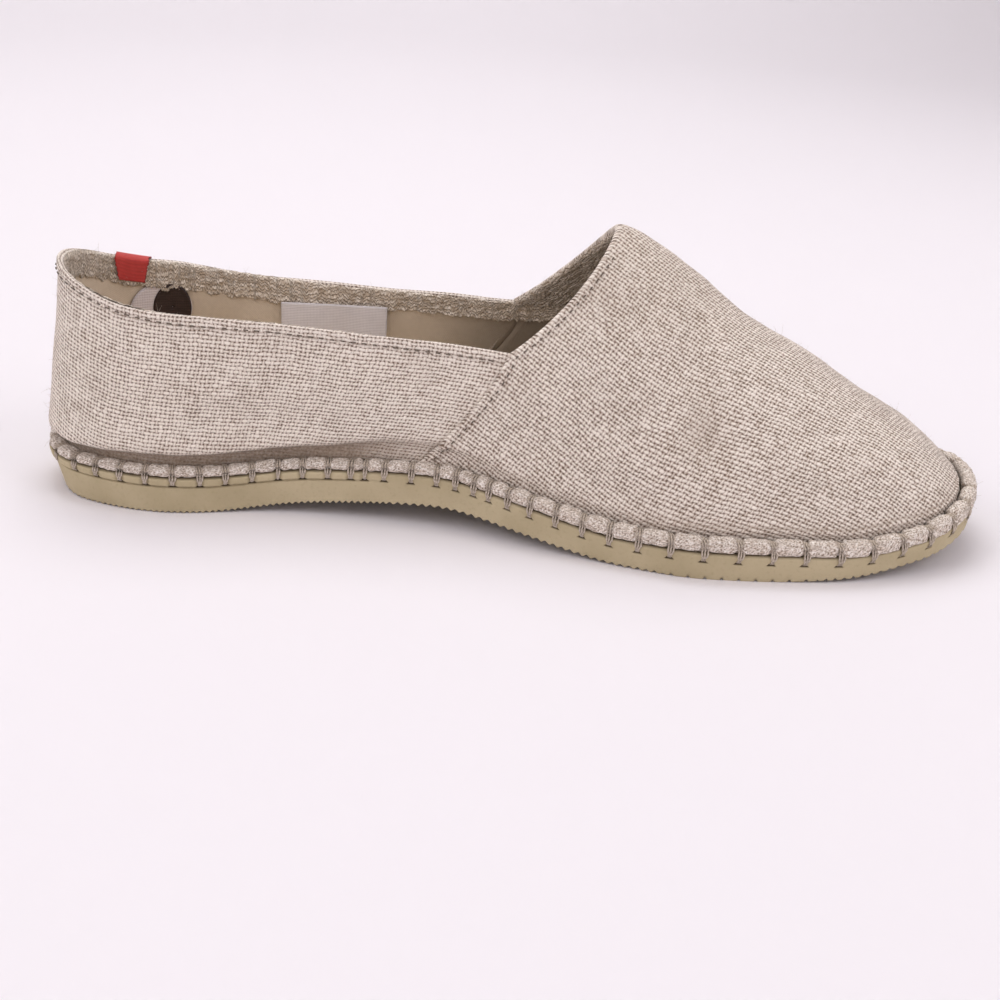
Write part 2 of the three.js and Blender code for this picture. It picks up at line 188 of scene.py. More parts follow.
def round_column(table, column):
    curve = smooth_curve(round_at(np.array(table["at"])), table[column])
    return lambda share: curve(round_at(share))


inner_half = round_column(SOLE_PLAN, "inner")
outer_half = round_column(SOLE_PLAN, "outer")
lift_at = smooth_curve(SOLE_PROFILE["at"], SOLE_PROFILE["lift"])
rubber_at = smooth_curve(SOLE_PROFILE["at"], SOLE_PROFILE["rubber"])
collar_drop = smooth_curve(COLLAR_LINE["at"], COLLAR_LINE["drop"])
fold_up = smooth_curve(FOLD_LINE["at"], FOLD_LINE["up"])
section = {name: round_column(LAST_SECTIONS, name) for name in ("crest", "ridge", "bulge", "power")}


def underside(x):
    return lift_at(x / LENGTH)


def rubber_top(x):
    return underside(x) + rubber_at(x / LENGTH)


print("rubber top at heel, arch, toe", [round(float(rubber_top(x)), 1) for x in (0, 126, 300)])

# %% [markdown]
# ## Once round the shoe
# One number, the way w, leads round the whole plan: 0 at the back of the heel, +1 at the toe by the
# outer side and -1 at the toe by the inner side. Cord, stitches and cloth all use it, so they meet.

# %% The plan, and the way out from it
def wrapped(w):
    return (np.asarray(w, float) + 1) % 2 - 1


def plan_edge(w):
    w = wrapped(w)
    share = share_at(np.abs(w))
    half = np.where(w < 0, -inner_half(share), outer_half(share))
    return np.stack([LENGTH * share, BALL_WIDTH * half], -1)


def way_out(edge, w):
    small = 1e-3
    along = edge(w + small) - edge(w - small)
    along /= np.linalg.norm(along, axis=-1, keepdims=True)
    return np.stack([-along[..., 1], along[..., 0]], -1)


def plan_point(w, inset):
    return plan_edge(w) - np.asarray(inset)[..., None] * way_out(plan_edge, w)


class Round:
    """Ways round the shoe by length walked: 0 at the heel, plus on the outer side, minus on the inner."""

    SAMPLES = 4000

    def __init__(self, inset):
        w = np.linspace(-1, 1, self.SAMPLES + 1)
        step = np.linalg.norm(np.diff(plan_point(w, inset), axis=0), axis=1)
        walked = np.concatenate([[0], np.cumsum(step)])
        self.w, self.walked = w, walked - walked[self.SAMPLES // 2]
        self.inner_toe, self.outer_toe = self.walked[0], self.walked[-1]

    def way(self, walked):
        return np.interp(walked, self.walked, self.w)


rim_round = Round(CORD_INSET + CORD_WIDTH / 2)
print("cord length, mm", round(rim_round.outer_toe - rim_round.inner_toe, 1))

# %% [markdown]
# ## The last
# Cloth is pulled over a last, so every face of the upper lies on one: the outer face at depth 0, the
# lining at the depth of the wall. Each cross section is a rounded tent from the sole's edge to a ridge,
# cut off at the collar where the shoe is open. The cloth rolls out a little over the cord.

# %% The last
class Last:
    def __init__(self, depth):
        self.depth = depth
        w = np.linspace(0, 1, 401)
        inset = FEATHER_INSET + depth
        outer, inner = plan_point(w, inset), plan_point(-w, inset)
        self.heel, self.span = outer[0, 0], outer[-1, 0] - outer[0, 0]
        self.sides = [self.side(outer), self.side(inner)]

    def side(self, points):
        u = round_at((points[:, 0] - self.heel) / self.span)
        keep = np.concatenate([[True], np.diff(np.maximum.accumulate(u)) > 1e-6])
        return smooth_curve(u[keep], points[keep, 1])

    def edge(self, w):
        w = wrapped(w)
        u = np.abs(w)
        y = np.where(w < 0, self.sides[1](u), self.sides[0](u))
        return np.stack([self.heel + self.span * share_at(u), y], -1)

    def way_at(self, x):
        return round_at((x - self.heel) / self.span)


def rim_height(x):
    """Height of the free edge: the collar, the straight throat edge up to its top, then none."""
    at = x / LENGTH
    climb = (at - CORNER_AT) / (PEAK_AT - CORNER_AT)
    collar = HEEL_HEIGHT - (HEEL_HEIGHT - CORNER_HEIGHT) * collar_drop(at)
    throat = CORNER_HEIGHT + (INSTEP_HEIGHT - CORNER_HEIGHT) * climb
    throat -= THROAT_SAG * 4 * np.clip(climb, 0, 1) * (1 - np.clip(climb, 0, 1))
    return np.where(at <= CORNER_AT, collar, np.where(at > PEAK_AT - 1e-6, 1e6, throat))


def section_numbers(last, w):
    """The cross section at a way: its foot, base, height, power, angle at the free edge, and ridge."""
    share = share_at(np.abs(wrapped(w)))
    foot = last.edge(w)
    base = rubber_top(foot[..., 0]) + SEAT_GAP
    tall = np.maximum(INSTEP_HEIGHT * section["crest"](share) - last.depth - base, 0.05)
    power = section["power"](share)
    free = np.clip(rim_height(foot[..., 0]) - base, 0, tall)
    return foot, base, tall, power, np.arcsin((free / tall) ** (power / 2)), section["ridge"](share)


def last_point(last, w, t):
    """A point of the last: t goes from 0 at the sole up to 1 at the free edge or the ridge."""
    w, t = np.broadcast_arrays(np.asarray(w, float), np.asarray(t, float))
    foot, base, tall, power, free_angle, ridge = section_numbers(last, w)
    angle = free_angle * t
    height = tall * np.sin(angle) ** (2 / power)
    spread = np.maximum(np.cos(angle), 0) ** (2 / power)
    y = ridge + (foot[..., 1] - ridge) * spread
    over = height - CORD_HEIGHT - fold_up(foot[..., 0] / LENGTH)
    rolled = 1 / (1 + np.exp(-FOLD_SHARPNESS * over))
    bulge = section["bulge"](share_at(np.abs(wrapped(w))))
    roll = bulge * rolled * np.maximum(1 - height / ROLL_FADE, 0) * spread
    out = way_out(last.edge, w)
    return np.stack([foot[..., 0] + roll * out[..., 0], y + roll * out[..., 1], base + height], -1)


outside_last = Last(0)
print("heel of the last", np.round(last_point(outside_last, 0.0, 1.0), 1))

# %% [markdown]
# ## From grids of points to meshes
# Nearly every piece here is a grid of points: so many round the shoe, so many up it. One function turns
# a grid into quads. Numbers stored on the points, such as where each one lies in the flat cloth, tell
# the material how to run its threads, so the weave follows the piece and not the room.

# %% Mesh helpers
def grid_quads(rows, columns, wrap_rows=False, wrap_columns=False):
    i = np.arange(rows if wrap_rows else rows - 1)[:, None]
    j = np.arange(columns if wrap_columns else columns - 1)[None, :]
    at = lambda a, b: (a % rows) * columns + (b % columns)
    return np.stack([at(i, j), at(i + 1, j), at(i + 1, j + 1), at(i, j + 1)], -1).reshape(-1, 4)


def make_piece(name, points, quads, body_slot, material, stands_for=(), **marks):
    """A mesh piece from points in the shoe's millimetres. marks are numbers or vectors kept on the points."""
    mesh = bpy.data.meshes.new(name)
    points = np.reshape(points, (-1, 3))
    mesh.vertices.add(len(points))
    mesh.vertices.foreach_set("co", in_metres(points).astype(np.float32).ravel())
    mesh.loops.add(quads.size)
    mesh.loops.foreach_set("vertex_index", quads.astype(np.int32).ravel())
    mesh.polygons.add(len(quads))
    mesh.polygons.foreach_set("loop_start", np.arange(0, quads.size, quads.shape[1], dtype=np.int32))
    mesh.update(calc_edges=True)
    for mark, values in marks.items():
        values = np.asarray(values, np.float32).ravel()
        is_vector = values.size == 3 * len(points)
        layer = mesh.attributes.new(mark, "FLOAT_VECTOR" if is_vector else "FLOAT", "POINT")
        layer.data.foreach_set("vector" if is_vector else "value", values)
    mesh.validate()
    mesh.shade_smooth()
    mesh.materials.append(material)
    piece = bpy.data.objects.new(name, mesh)
    bpy.context.scene.collection.objects.link(piece)
    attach(piece, "root")
    if stands_for:
        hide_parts(*stands_for)
    print(name, len(points), "points", len(quads), "faces")


def normals_of(grid):
    """The way out of a grid of points at each of its points."""
    along, up = np.gradient(grid, axis=0), np.gradient(grid, axis=1)
    out = np.cross(up, along)
    return out / np.maximum(np.linalg.norm(out, axis=-1, keepdims=True), 1e-9)


def soft_step(value, start, end):
    s = np.clip((value - start) / (end - start), 0, 1)
    return s * s * (3 - 2 * s)


def soft_bump(value, middle, half_width):
    """1 at the middle, falling smoothly to 0 at half_width on either side."""
    return soft_step(half_width - np.abs(value - middle), 0, half_width)


class Wobble:
    """Slow seeded unevenness: a few sine waves with random directions."""

    WAVES = 7

    def __init__(self, seed, wavelength):
        random = np.random.default_rng(seed)
        direction = random.normal(size=(self.WAVES, 3))
        direction /= np.linalg.norm(direction, axis=1, keepdims=True)
        self.turns = direction / (wavelength * random.uniform(0.7, 1.5, (self.WAVES, 1)))
        self.start = random.uniform(0, 1, self.WAVES)

    def __call__(self, points):
        return np.sin(2 * np.pi * (np.asarray(points) @ self.turns.T + self.start)).mean(-1) * 2


print("helpers ready")

# %% [markdown]
# ## Mixing finishes
# A finish is a small sum worked out at each point: how high the thread stands, how dark the gap is. Such
# sums read badly as loose nodes, so a Field stands for a number in the node tree, and plus, times and
# power of Fields make the Math nodes. A Paint is one material with its shader.

# %% Fields and paints
class Field:
    def __init__(self, paint, socket):
        self.paint, self.socket = paint, socket

    def maths(self, operation, *others):
        return self.paint.maths(operation, self, *others)

    def __add__(self, other):
        return self.maths("ADD", other)

    def __sub__(self, other):
        return self.maths("SUBTRACT", other)

    def __rsub__(self, other):
        return self.paint.maths("SUBTRACT", other, self)

    def __mul__(self, other):
        return self.maths("MULTIPLY", other)

    def __truediv__(self, other):
        return self.maths("DIVIDE", other)

    def __pow__(self, other):
        return self.maths("POWER", other)

    __radd__, __rmul__ = __add__, __mul__

    def floor(self):
        return self.maths("FLOOR")

    def part(self):
        return self.maths("FRACT")

    def wave(self):
        """A sine with one wave to each whole number."""
        return (self * (2 * math.pi)).maths("SINE")

    def most(self, other):
        return self.maths("MAXIMUM", other)

    def ramp(self, start, end, low=0.0, high=1.0):
        """low before start, high after end, smooth between."""
        settings = {"Value": self, "From Min": start, "From Max": end, "To Min": low, "To Max": high}
        node = self.paint.node("ShaderNodeMapRange", settings, interpolation_type="SMOOTHSTEP")
        return Field(self.paint, node.outputs["Result"])


def colour_of(hex_code):
    """A screen colour such as c0b0a8 as the linear light that a shader works in."""
    screen = [int(hex_code[i : i + 2], 16) / 255 for i in (0, 2, 4)]
    linear = [c / 12.92 if c <= 0.04045 else ((c + 0.055) / 1.055) ** 2.4 for c in screen]
    return (*linear, 1)


class Paint:
    def __init__(self, name):
        self.material = bpy.data.materials.new(name)
        self.material.use_nodes = True
        self.tree = self.material.node_tree
        self.shader = self.tree.nodes["Principled BSDF"]

    def feed(self, socket, value):
        if isinstance(value, Field):
            value = value.socket
        if isinstance(value, bpy.types.NodeSocket):
            self.tree.links.new(value, socket)
        else:
            socket.default_value = value

    def node(self, kind, inputs=None, **settings):
        node = self.tree.nodes.new(kind)
        for name, value in settings.items():
            setattr(node, name, value)
        for name, value in (inputs or {}).items():
            self.feed(node.inputs[name], value)
        return node

    def maths(self, operation, *terms):
        node = self.node("ShaderNodeMath", dict(enumerate(terms)), operation=operation)
        return Field(self, node.outputs[0])

    def mark(self, name):
        """A number kept on the points."""
        return Field(self, self.node("ShaderNodeAttribute", attribute_name=name).outputs["Fac"])

    def places(self, name):
        """A vector kept on the points, as three fields."""
        vector = self.node("ShaderNodeAttribute", attribute_name=name).outputs["Vector"]
        parts = self.node("ShaderNodeSeparateXYZ", {0: vector})
        return [Field(self, out) for out in parts.outputs]

    def room(self):
        """The point itself, in metres."""
        return self.node("ShaderNodeTexCoord").outputs["Object"]

    def vector(self, x, y, z=0.0):
        return self.node("ShaderNodeCombineXYZ", {0: x, 1: y, 2: z}).outputs[0]

    def noise(self, vector, scale, detail=2.0, roughness=0.5):
        settings = {"Vector": vector, "Scale": scale, "Detail": detail, "Roughness": roughness}
        return Field(self, self.node("ShaderNodeTexNoise", settings).outputs[0])

    def chance(self, number):
        """A random value from 0 to 1 for each whole number."""
        node = self.node("ShaderNodeTexWhiteNoise", {"W": number}, noise_dimensions="1D")
        return Field(self, node.outputs["Value"])

    def blend(self, first, second, amount, way="MIX"):
        node = self.node("ShaderNodeMix", data_type="RGBA", blend_type=way)
        self.feed(node.inputs["Factor"], amount)
        self.feed(node.inputs[6], first)
        self.feed(node.inputs[7], second)
        return node.outputs[2]

    def relief(self, height):
        """Bump from a height in metres."""
        settings = {"Height": height, "Distance": 1.0, "Strength": 1.0}
        self.feed(self.shader.inputs["Normal"], self.node("ShaderNodeBump", settings).outputs[0])

    def finish(self, colour, roughness, sheen=0.0, specular=0.5):
        self.feed(self.shader.inputs["Base Color"], colour)
        self.feed(self.shader.inputs["Roughness"], roughness)
        self.shader.inputs["Sheen Weight"].default_value = sheen
        self.shader.inputs["Sheen Roughness"].default_value = 0.6
        self.shader.inputs["Specular IOR Level"].default_value = specular
        return self.material


print("paints ready")

# %% [markdown]
# ## Linen
# The upper is a coarse plain weave of natural linen: threads about a millimetre apart, each going over
# one and under the next, with little gaps at the corners that are painted dark as shade. Flax is spun
# unevenly, so some threads are thick and pale, others thin, and the tone changes along each of them. The
# height of a thread is a crown across it times a slow wave along it. The higher of the two sets is the one
# that shows, and the highest parts of the threads get a painted highlight.

# %% Linen
WARP_PITCH = 1.3 * MM
WEFT_PITCH = 1.24 * MM
WANDER = 1.4  # how far a thread strays from its straight line, in pitches


def linen_threads(paint, along, up):
    """Height and tone of the threads, each from 0 to 1, for places in the flat cloth."""
    place = paint.vector(along, up)
    drift = paint.noise(place, 90, 2)
    sway = paint.noise(paint.vector(up, along, 3.0), 70, 2)
    fine = paint.noise(paint.vector(along, up, 13.0), 420, 2)
    p = along / WARP_PITCH + (drift - 0.5) * WANDER + (fine - 0.5) * 0.5
    q = up / WEFT_PITCH + (sway - 0.5) * WANDER + (fine - 0.5) * 0.5
    i, j = p.floor(), q.floor()
    warp_slub = paint.noise(paint.vector(i * 0.37, q * 0.06, 1.7), 6, 2)
    weft_slub = paint.noise(paint.vector(p * 0.05, j * 0.41, 5.2), 6, 2)
    warp_crown = (p.part() * 0.5).wave() ** (2.5 - 2.4 * warp_slub).most(0.3)
    weft_crown = (q.part() * 0.5).wave() ** (2.7 - 2.6 * weft_slub).most(0.3)
    warp_over = 0.5 - 0.5 * ((q + i) * 0.5).wave()
    weft_over = 0.5 + 0.5 * ((p + j) * 0.5).wave()
    warp = warp_crown * (0.2 + 0.62 * warp_over) * (0.86 + 0.28 * warp_slub)
    weft = weft_crown * (0.22 + 0.78 * weft_over ** 0.7) * (0.86 + 0.28 * weft_slub)
    height = warp.most(weft) + (paint.chance(i * 3.17 + j * 5.93) - 0.5) * 0.14
    weft_shows = (weft - warp).ramp(-0.04, 0.04)
    tone = warp_slub + (weft_slub - warp_slub + 0.1) * weft_shows
    tone = tone + (paint.chance(i * 7.13 + j * 3.71 + weft_shows.ramp(0.4, 0.6) * 0.5) - 0.5) * 0.16
    return height, tone


def linen_paint(name, pale, mid):
    paint = Paint(name)
    along, up, _ = paint.places("cloth")
    height, tone = linen_threads(paint, along, up)
    fibre_place = paint.vector(along + 0.0006 * paint.noise(paint.room(), 900, 1), up)
    fibre = paint.noise(fibre_place, 2600, 3, 0.6)
    patch = paint.noise(paint.vector(along, up, 9.0), 55, 2)
    thread = paint.blend(colour_of(mid), colour_of(pale), tone.ramp(0.1, 0.95))
    thread = paint.blend(thread, colour_of("988470"), (0.5 - fibre).ramp(0.0, 0.25) * 0.55)
    # Painted highlight: the highest parts of the threads are mixed towards near white.
    thread = paint.blend(thread, colour_of("fff6e9"), height.ramp(0.5, 0.78) * 0.88)
    # Painted shade: where no thread fills the cloth, the colour is a dark brown.
    filled = (height + (fibre - 0.5) * 0.3).ramp(0.12, 0.4)
    cloth = paint.blend(colour_of("6c5846"), thread, filled)  # dark gaps between the threads
    cloth = paint.blend(cloth, colour_of("b3a294"), patch.ramp(0.5, 0.8) * 0.16)
    # Painted shade, with some wear: the mark turns the cloth a dull fuzzy brown in the band under the fold,
    # in hem grooves and creases, and on hidden faces.
    grime = paint.mark("grime")
    fuzz = paint.noise(paint.room(), 1100, 3, 0.65)
    felt_in_shade = paint.blend(colour_of("7a6857"), colour_of("ab9986"), fuzz.ramp(0.3, 0.7))
    cloth = paint.blend(cloth, felt_in_shade, grime.ramp(0, 1, 0, 0.92))
    paint.relief(height * 0.0005 * (1 - grime * 0.8) + fibre * 0.00009 + fuzz * grime * 0.0003)
    return paint.finish(cloth, 0.92 - 0.1 * height, sheen=0.12, specular=0.25)


quarter_linen = linen_paint("linen of the quarter", "f5e7db", "c4b1a1")
vamp_linen = linen_paint("linen of the vamp", "e9dace", "b4a190")
print("linen", quarter_linen.name, vamp_linen.name)

# %% [markdown]
# ## Thread, cord, rubber and lining
# The other finishes are plainer. The sewing thread is twisted, so fine slanting bands run round it. The
# rubber is matt and slightly mottled, with painted shade in its holes and grooves and a darker underside.
# The lining is a smooth cotton with a fine grain, painted darker deep inside the shoe, and the facing
# round the collar is a woven herringbone tape, painted darker in its low places.

# %% The other finishes
TWIST = 1.1 * MM  # one turn of the sewing thread


def thread_paint(name, pale, dark):
    paint = Paint(name)
    along, across, _ = paint.places("cloth")
    band = ((along / TWIST) + across).wave() * 0.5 + 0.5
    hair = paint.noise(paint.vector(along * 0.3, across * 0.0006, 2.0), 4000, 2)
    colour = paint.blend(colour_of(dark), colour_of(pale), band * 0.6 + hair * 0.4)
    paint.relief(band * 0.0001 + hair * 0.00006)
    return paint.finish(colour, 0.85, sheen=0.1, specular=0.3)


def cord_paint():
    """Linen yarn wound over the cord: fine slanting threads, very uneven and hairy."""
    paint = Paint("linen round the cord")
    along, across, _ = paint.places("cloth")
    lean = paint.noise(paint.vector(along, across), 160, 2)
    q = (across + along * 0.35 + lean * 0.003) / 0.00055
    p = (along - across * 0.2 + lean * 0.002) / 0.0009
    crown = (q.part() * 0.5).wave() * (0.55 + 0.45 * ((p + q.floor()) * 0.5).wave())
    slub = paint.noise(paint.vector(p * 0.2, q.floor() * 0.37, 4.0), 5, 2)
    fuzz = paint.noise(paint.room(), 1500, 3, 0.65)
    # Painted highlights on the brightest hairs. Painted shade: the colour is dark between the crowns of the
    # threads, and darker where the mark says the cord is pinched or tucked.
    painted_glint = (fuzz + slub * 0.3).ramp(0.66, 0.8)
    thread = paint.blend(colour_of("cdbbaa"), colour_of("f4e8dc"), slub.ramp(0.25, 0.7))
    colour = paint.blend(colour_of("836f5b"), thread, (crown * 0.5 + fuzz * 0.9).ramp(0.3, 0.68))
    colour = paint.blend(colour, colour_of("fff8f0"), painted_glint * 0.8)
    colour = paint.blend(colour, colour_of("6f5f50"), paint.mark("grime").ramp(0, 1, 0, 0.8), "MULTIPLY")
    paint.relief(crown * 0.00022 + fuzz * 0.0003)
    return paint.finish(colour, 0.9, sheen=0.15, specular=0.25)


def rubber_paint():
    paint = Paint("crepe rubber")
    cloud = paint.noise(paint.room(), 45, 3)
    grain = paint.noise(paint.room(), 900, 3, 0.6)
    colour = paint.blend(colour_of("c1b291"), colour_of("b4a584"), cloud.ramp(0.35, 0.7))
    colour = paint.blend(colour, colour_of("98886a"), grain.ramp(0.5, 0.8) * 0.3)
    # Painted shade, and a darker underside: the mark darkens the rubber in its holes and grooves and under
    # the cord.
    colour = paint.blend(colour, colour_of("4a3d2c"), paint.mark("grime"))
    paint.relief(grain * 0.00006 + cloud * 0.0002)
    return paint.finish(colour, 0.62 + 0.2 * grain, specular=0.35)


def lining_paint():
    paint = Paint("cotton lining")
    along, up, _ = paint.places("cloth")
    weave = ((along / 0.0007).wave() * (up / 0.0007).wave()) * 0.5 + 0.5
    cloud = paint.noise(paint.room(), 60, 3)
    pill = paint.noise(paint.room(), 700, 2)
    colour = paint.blend(colour_of("e6d6c0"), colour_of("dccbb4"), cloud.ramp(0.35, 0.7))
    colour = paint.blend(colour, colour_of("b8a893"), (weave * 0.5 + pill * 0.5).ramp(0.35, 0.8) * 0.4)
    # Painted shade: the mark darkens the lining deep inside the shoe.
    colour = paint.blend(colour, colour_of("4f4237"), paint.mark("grime").ramp(0, 1, 0, 0.8))
    paint.relief(weave * 0.00006 + pill * 0.00012)
    return paint.finish(colour, 0.9, sheen=0.1, specular=0.25)


def tape_paint():
    """Herringbone tape of soft yarn: wavy ribs along it, each crossed by slanting strands."""
    paint = Paint("herringbone tape")
    along, up, _ = paint.places("cloth")
    sway = paint.noise(paint.vector(along, up), 170, 2)
    fuzz = paint.noise(paint.room(), 1300, 3, 0.65)
    rib = up / 0.0013 + sway * 3
    lean = ((rib * 0.5).part() - 0.5).maths("SIGN")
    strand = (along / 0.0011 + rib.part() * lean * 0.6 + sway * 2).wave() * 0.5 + 0.5
    ridge = (rib.part() * 0.5).wave() ** 0.7
    height = ridge * (0.4 + 0.6 * strand)
    tone = paint.noise(paint.vector(along, rib.floor() * 0.01, 6.0), 420, 2)
    thread = paint.blend(colour_of("d8c7b2"), colour_of("fff3e3"), tone.ramp(0.35, 0.65))
    # Painted shade: the low places between the ribs and strands are dark, and the mark darkens the tape
    # further where it lies deep in the throat.
    colour = paint.blend(colour_of("948069"), thread, (height + (fuzz - 0.5) * 0.7).ramp(0.08, 0.55))
    colour = paint.blend(colour, colour_of("6b5b4c"), paint.mark("grime").ramp(0, 1, 0, 0.8), "MULTIPLY")
    paint.relief(height * 0.00035 + fuzz * 0.0003)
    return paint.finish(colour, 0.92, sheen=0.15, specular=0.25)


def ribbon_paint(name, pale, dark, rib, sheen, roughness):
    """Ribbed tape or plain paper; rib is the width of one rib, metres."""
    paint = Paint(name)
    along, up, _ = paint.places("cloth")
    ribs = (up / rib).wave() * 0.5 + 0.5
    warp = (along / (rib * 0.8)).wave() * 0.5 + 0.5
    wear = paint.noise(paint.room(), 400, 3)
    lit = (ribs * 0.55 + warp * 0.25 + wear * 0.4).ramp(0.2, 1)
    colour = paint.blend(colour_of(dark), colour_of(pale), lit)
    paint.relief(ribs * 0.00007 + warp * 0.00003 + wear * 0.00004)
    return paint.finish(colour, roughness, sheen=sheen, specular=0.4)


sewing_thread = thread_paint("sewing thread", "dccfc1", "a4937f")
# Painted shade: the seam thread is dark to stand for the shade in the stitch holes.
shaded_seam_thread = thread_paint("seam thread", "857668", "4d4238")
cord_linen = cord_paint()
crepe_rubber = rubber_paint()
cotton_lining = lining_paint()
herringbone_tape = tape_paint()
red_ribbon = ribbon_paint("red ribbon", "e0463e", "a82622", 0.0005, 0.1, 0.5)
satin_label = ribbon_paint("satin label", "fbf6f6", "e2dcde", 0.0006, 0.1, 0.4)
sticker_paper = ribbon_paint("sticker paper", "ece4e4", "ddd2d2", 0.0009, 0.0, 0.45)
sticker_ink = ribbon_paint("sticker ink", "3b2b28", "33241f", 0.0009, 0.0, 0.4)
print("finishes ready")

# %% [markdown]
# ## Where the blanket stitches go
# A stitch binds the cord to the rubber every eight millimetres or so, a little wider at the toe, and
# closer just behind the side seam, where the sewer doubled one. The places come from a short table of
# pitches, walked round from the back of the heel, with a little seeded unevenness.

# %% Stitch places
STITCH_PITCH = {
    "at": (0, 0.3, 0.326, 0.342, 0.366, 0.43, 0.46, 0.5, 0.6, 0.7, 1),
    "inner": (8.1, 8.0, 4.1, 5.4, 8.8, 6.4, 5.4, 7.8, 9.1, 10.4, 10.2),
    "outer": (8.1, 8.0, 8.0, 7.9, 7.8, 7.6, 7.6, 8.0, 9.0, 10.2, 10.2),
}


def stitch_walks(side):
    pitch = smooth_curve(STITCH_PITCH["at"], STITCH_PITCH["inner" if side < 0 else "outer"])
    whole = -rim_round.inner_toe if side < 0 else rim_round.outer_toe
    random = np.random.default_rng(11 + side)
    walked, found = (1.0 if side < 0 else pitch(0.0) - 1.0), []
    while walked < whole - 4:
        found.append(side * walked)
        x = plan_point(rim_round.way(side * walked), 0)[0]
        walked += float(pitch(x / LENGTH)) * random.uniform(0.96, 1.04)
    return found


STITCHES = np.array(sorted(stitch_walks(-1) + stitch_walks(1)))
pitches = np.diff(STITCHES)
print(len(STITCHES), "stitches, pitch", np.round(pitches.min(), 1), "to", np.round(pitches.max(), 1))


def gap_number(walked):
    """Which gap between stitches a place lies in, counted all round the shoe."""
    whole = rim_round.outer_toe - rim_round.inner_toe
    ring = np.concatenate([[STITCHES[-1] - whole], STITCHES, [STITCHES[0] + whole]])
    return np.clip(np.searchsorted(ring, walked, side="right") - 1, 0, len(ring) - 2)


def to_stitch(walked):
    """Signed distance to the nearest stitch, mm."""
    i = np.clip(np.searchsorted(STITCHES, walked), 1, len(STITCHES) - 1)
    before, after = walked - STITCHES[i - 1], walked - STITCHES[i]
    return np.where(np.abs(before) < np.abs(after), before, after)


# %% [markdown]
# ## The rubber sole
# The sole is moulded crepe rubber. Its side is smooth and leans in a little below. A needle hole lies
# under each stitch, and round the heel the rubber is squeezed into a soft lip under each loop of cord,
# with a fine groove below it. Fine teeth are cut across the underside below the heel and the arch, and
# narrow grooves farther forward, and they show along the lower edge. It is one closed grid, dense enough
# that the holes and teeth are real shape.

# %% Rubber sole
EDGE_ROUND = 0.8
UNDERSIDE_INSET = 2
FOOT_INSET = 1
HEEL_RAKE = 3.4
RAKE_FADE = 8
HEEL_TEETH = 2.0  # pitch of the fine teeth under the heel
ARCH_TEETH = 2.6
TEETH_CHANGE = 112  # from one to the other, mm from the heel
TEETH_DEPTH = 1.0
TEETH_AT_HEEL = 0.8  # the heel's teeth have this share of the depth
TEETH_ENDS = (0.5, 3, 188, 206)  # they fade in and out between these
GROOVE_PITCH = 5.2  # narrow grooves farther forward
TOE_PITCH = 2.9
TOE_FROM = 245
GROOVE_DEPTH = 0.75
TOE_SPRING = (272, 46, 1.7)  # the rubber is thinner here: where, half width, how much
LIP_HEIGHT = 3.1
LIP_LIFT = 0.5
LIP_OUT = 0.8
LIP_GROOVE = 0.5
LIP_ENDS = (95, 112)  # the scalloped lip fades out between these, from the heel
HOLE_DROP = 2.6  # needle holes below the rubber's top edge
HOLE_DEPTH = 1.4


def grooves(x):
    """Narrow grooves across the underside, closer at the toe, and how much of them the teeth replace."""
    pitch = np.where(x < TOE_FROM, GROOVE_PITCH, TOE_PITCH)
    groove = np.clip(1 - np.abs(x % pitch - pitch / 2) / 0.7, 0, 1)
    start, full, last, end = TEETH_ENDS
    return groove * soft_step(x, 2, 8), soft_step(x, start, full) * (1 - soft_step(x, last, end))


def cut_up(x):
    """How deep the teeth and grooves are at x."""
    groove, toothed = grooves(x)
    count = np.minimum(x, TEETH_CHANGE) / HEEL_TEETH + np.maximum(x - TEETH_CHANGE, 0) / ARCH_TEETH
    depth = TEETH_DEPTH * (TEETH_AT_HEEL + (1 - TEETH_AT_HEEL) * soft_step(x, 60, TEETH_CHANGE))
    return depth * np.abs(2 * (count % 1) - 1) * toothed + GROOVE_DEPTH * groove * (1 - toothed)


def tread(x):
    """How far the underside stands over its smooth line at x."""
    return cut_up(x) + TOE_SPRING[2] * soft_bump(x, *TOE_SPRING[:2])


def clear_of_stitch(near):
    return soft_step(np.abs(near), 0.75, 1.9)


def lip_shape(drop, near):
    """How far the lip stands out, and how deep the groove below it is."""
    stand = soft_step(drop, 0.1, 1.0) * (1 - soft_step(drop, LIP_HEIGHT - 0.9, LIP_HEIGHT - 0.1))
    return clear_of_stitch(near) * stand, soft_bump(drop, LIP_HEIGHT - 0.1, 0.55)


def needle_hole(drop, near):
    """A three-cornered hole, wide at the bottom."""
    wide = 1.5 * np.clip((drop - HOLE_DROP + 0.7) / 1.2, 0, 1) + 1e-3
    ends = 1 - soft_step(drop, HOLE_DROP + 0.45, HOLE_DROP + 0.7)
    return soft_step(1 - np.abs(near) / wide, 0, 0.4) * ends


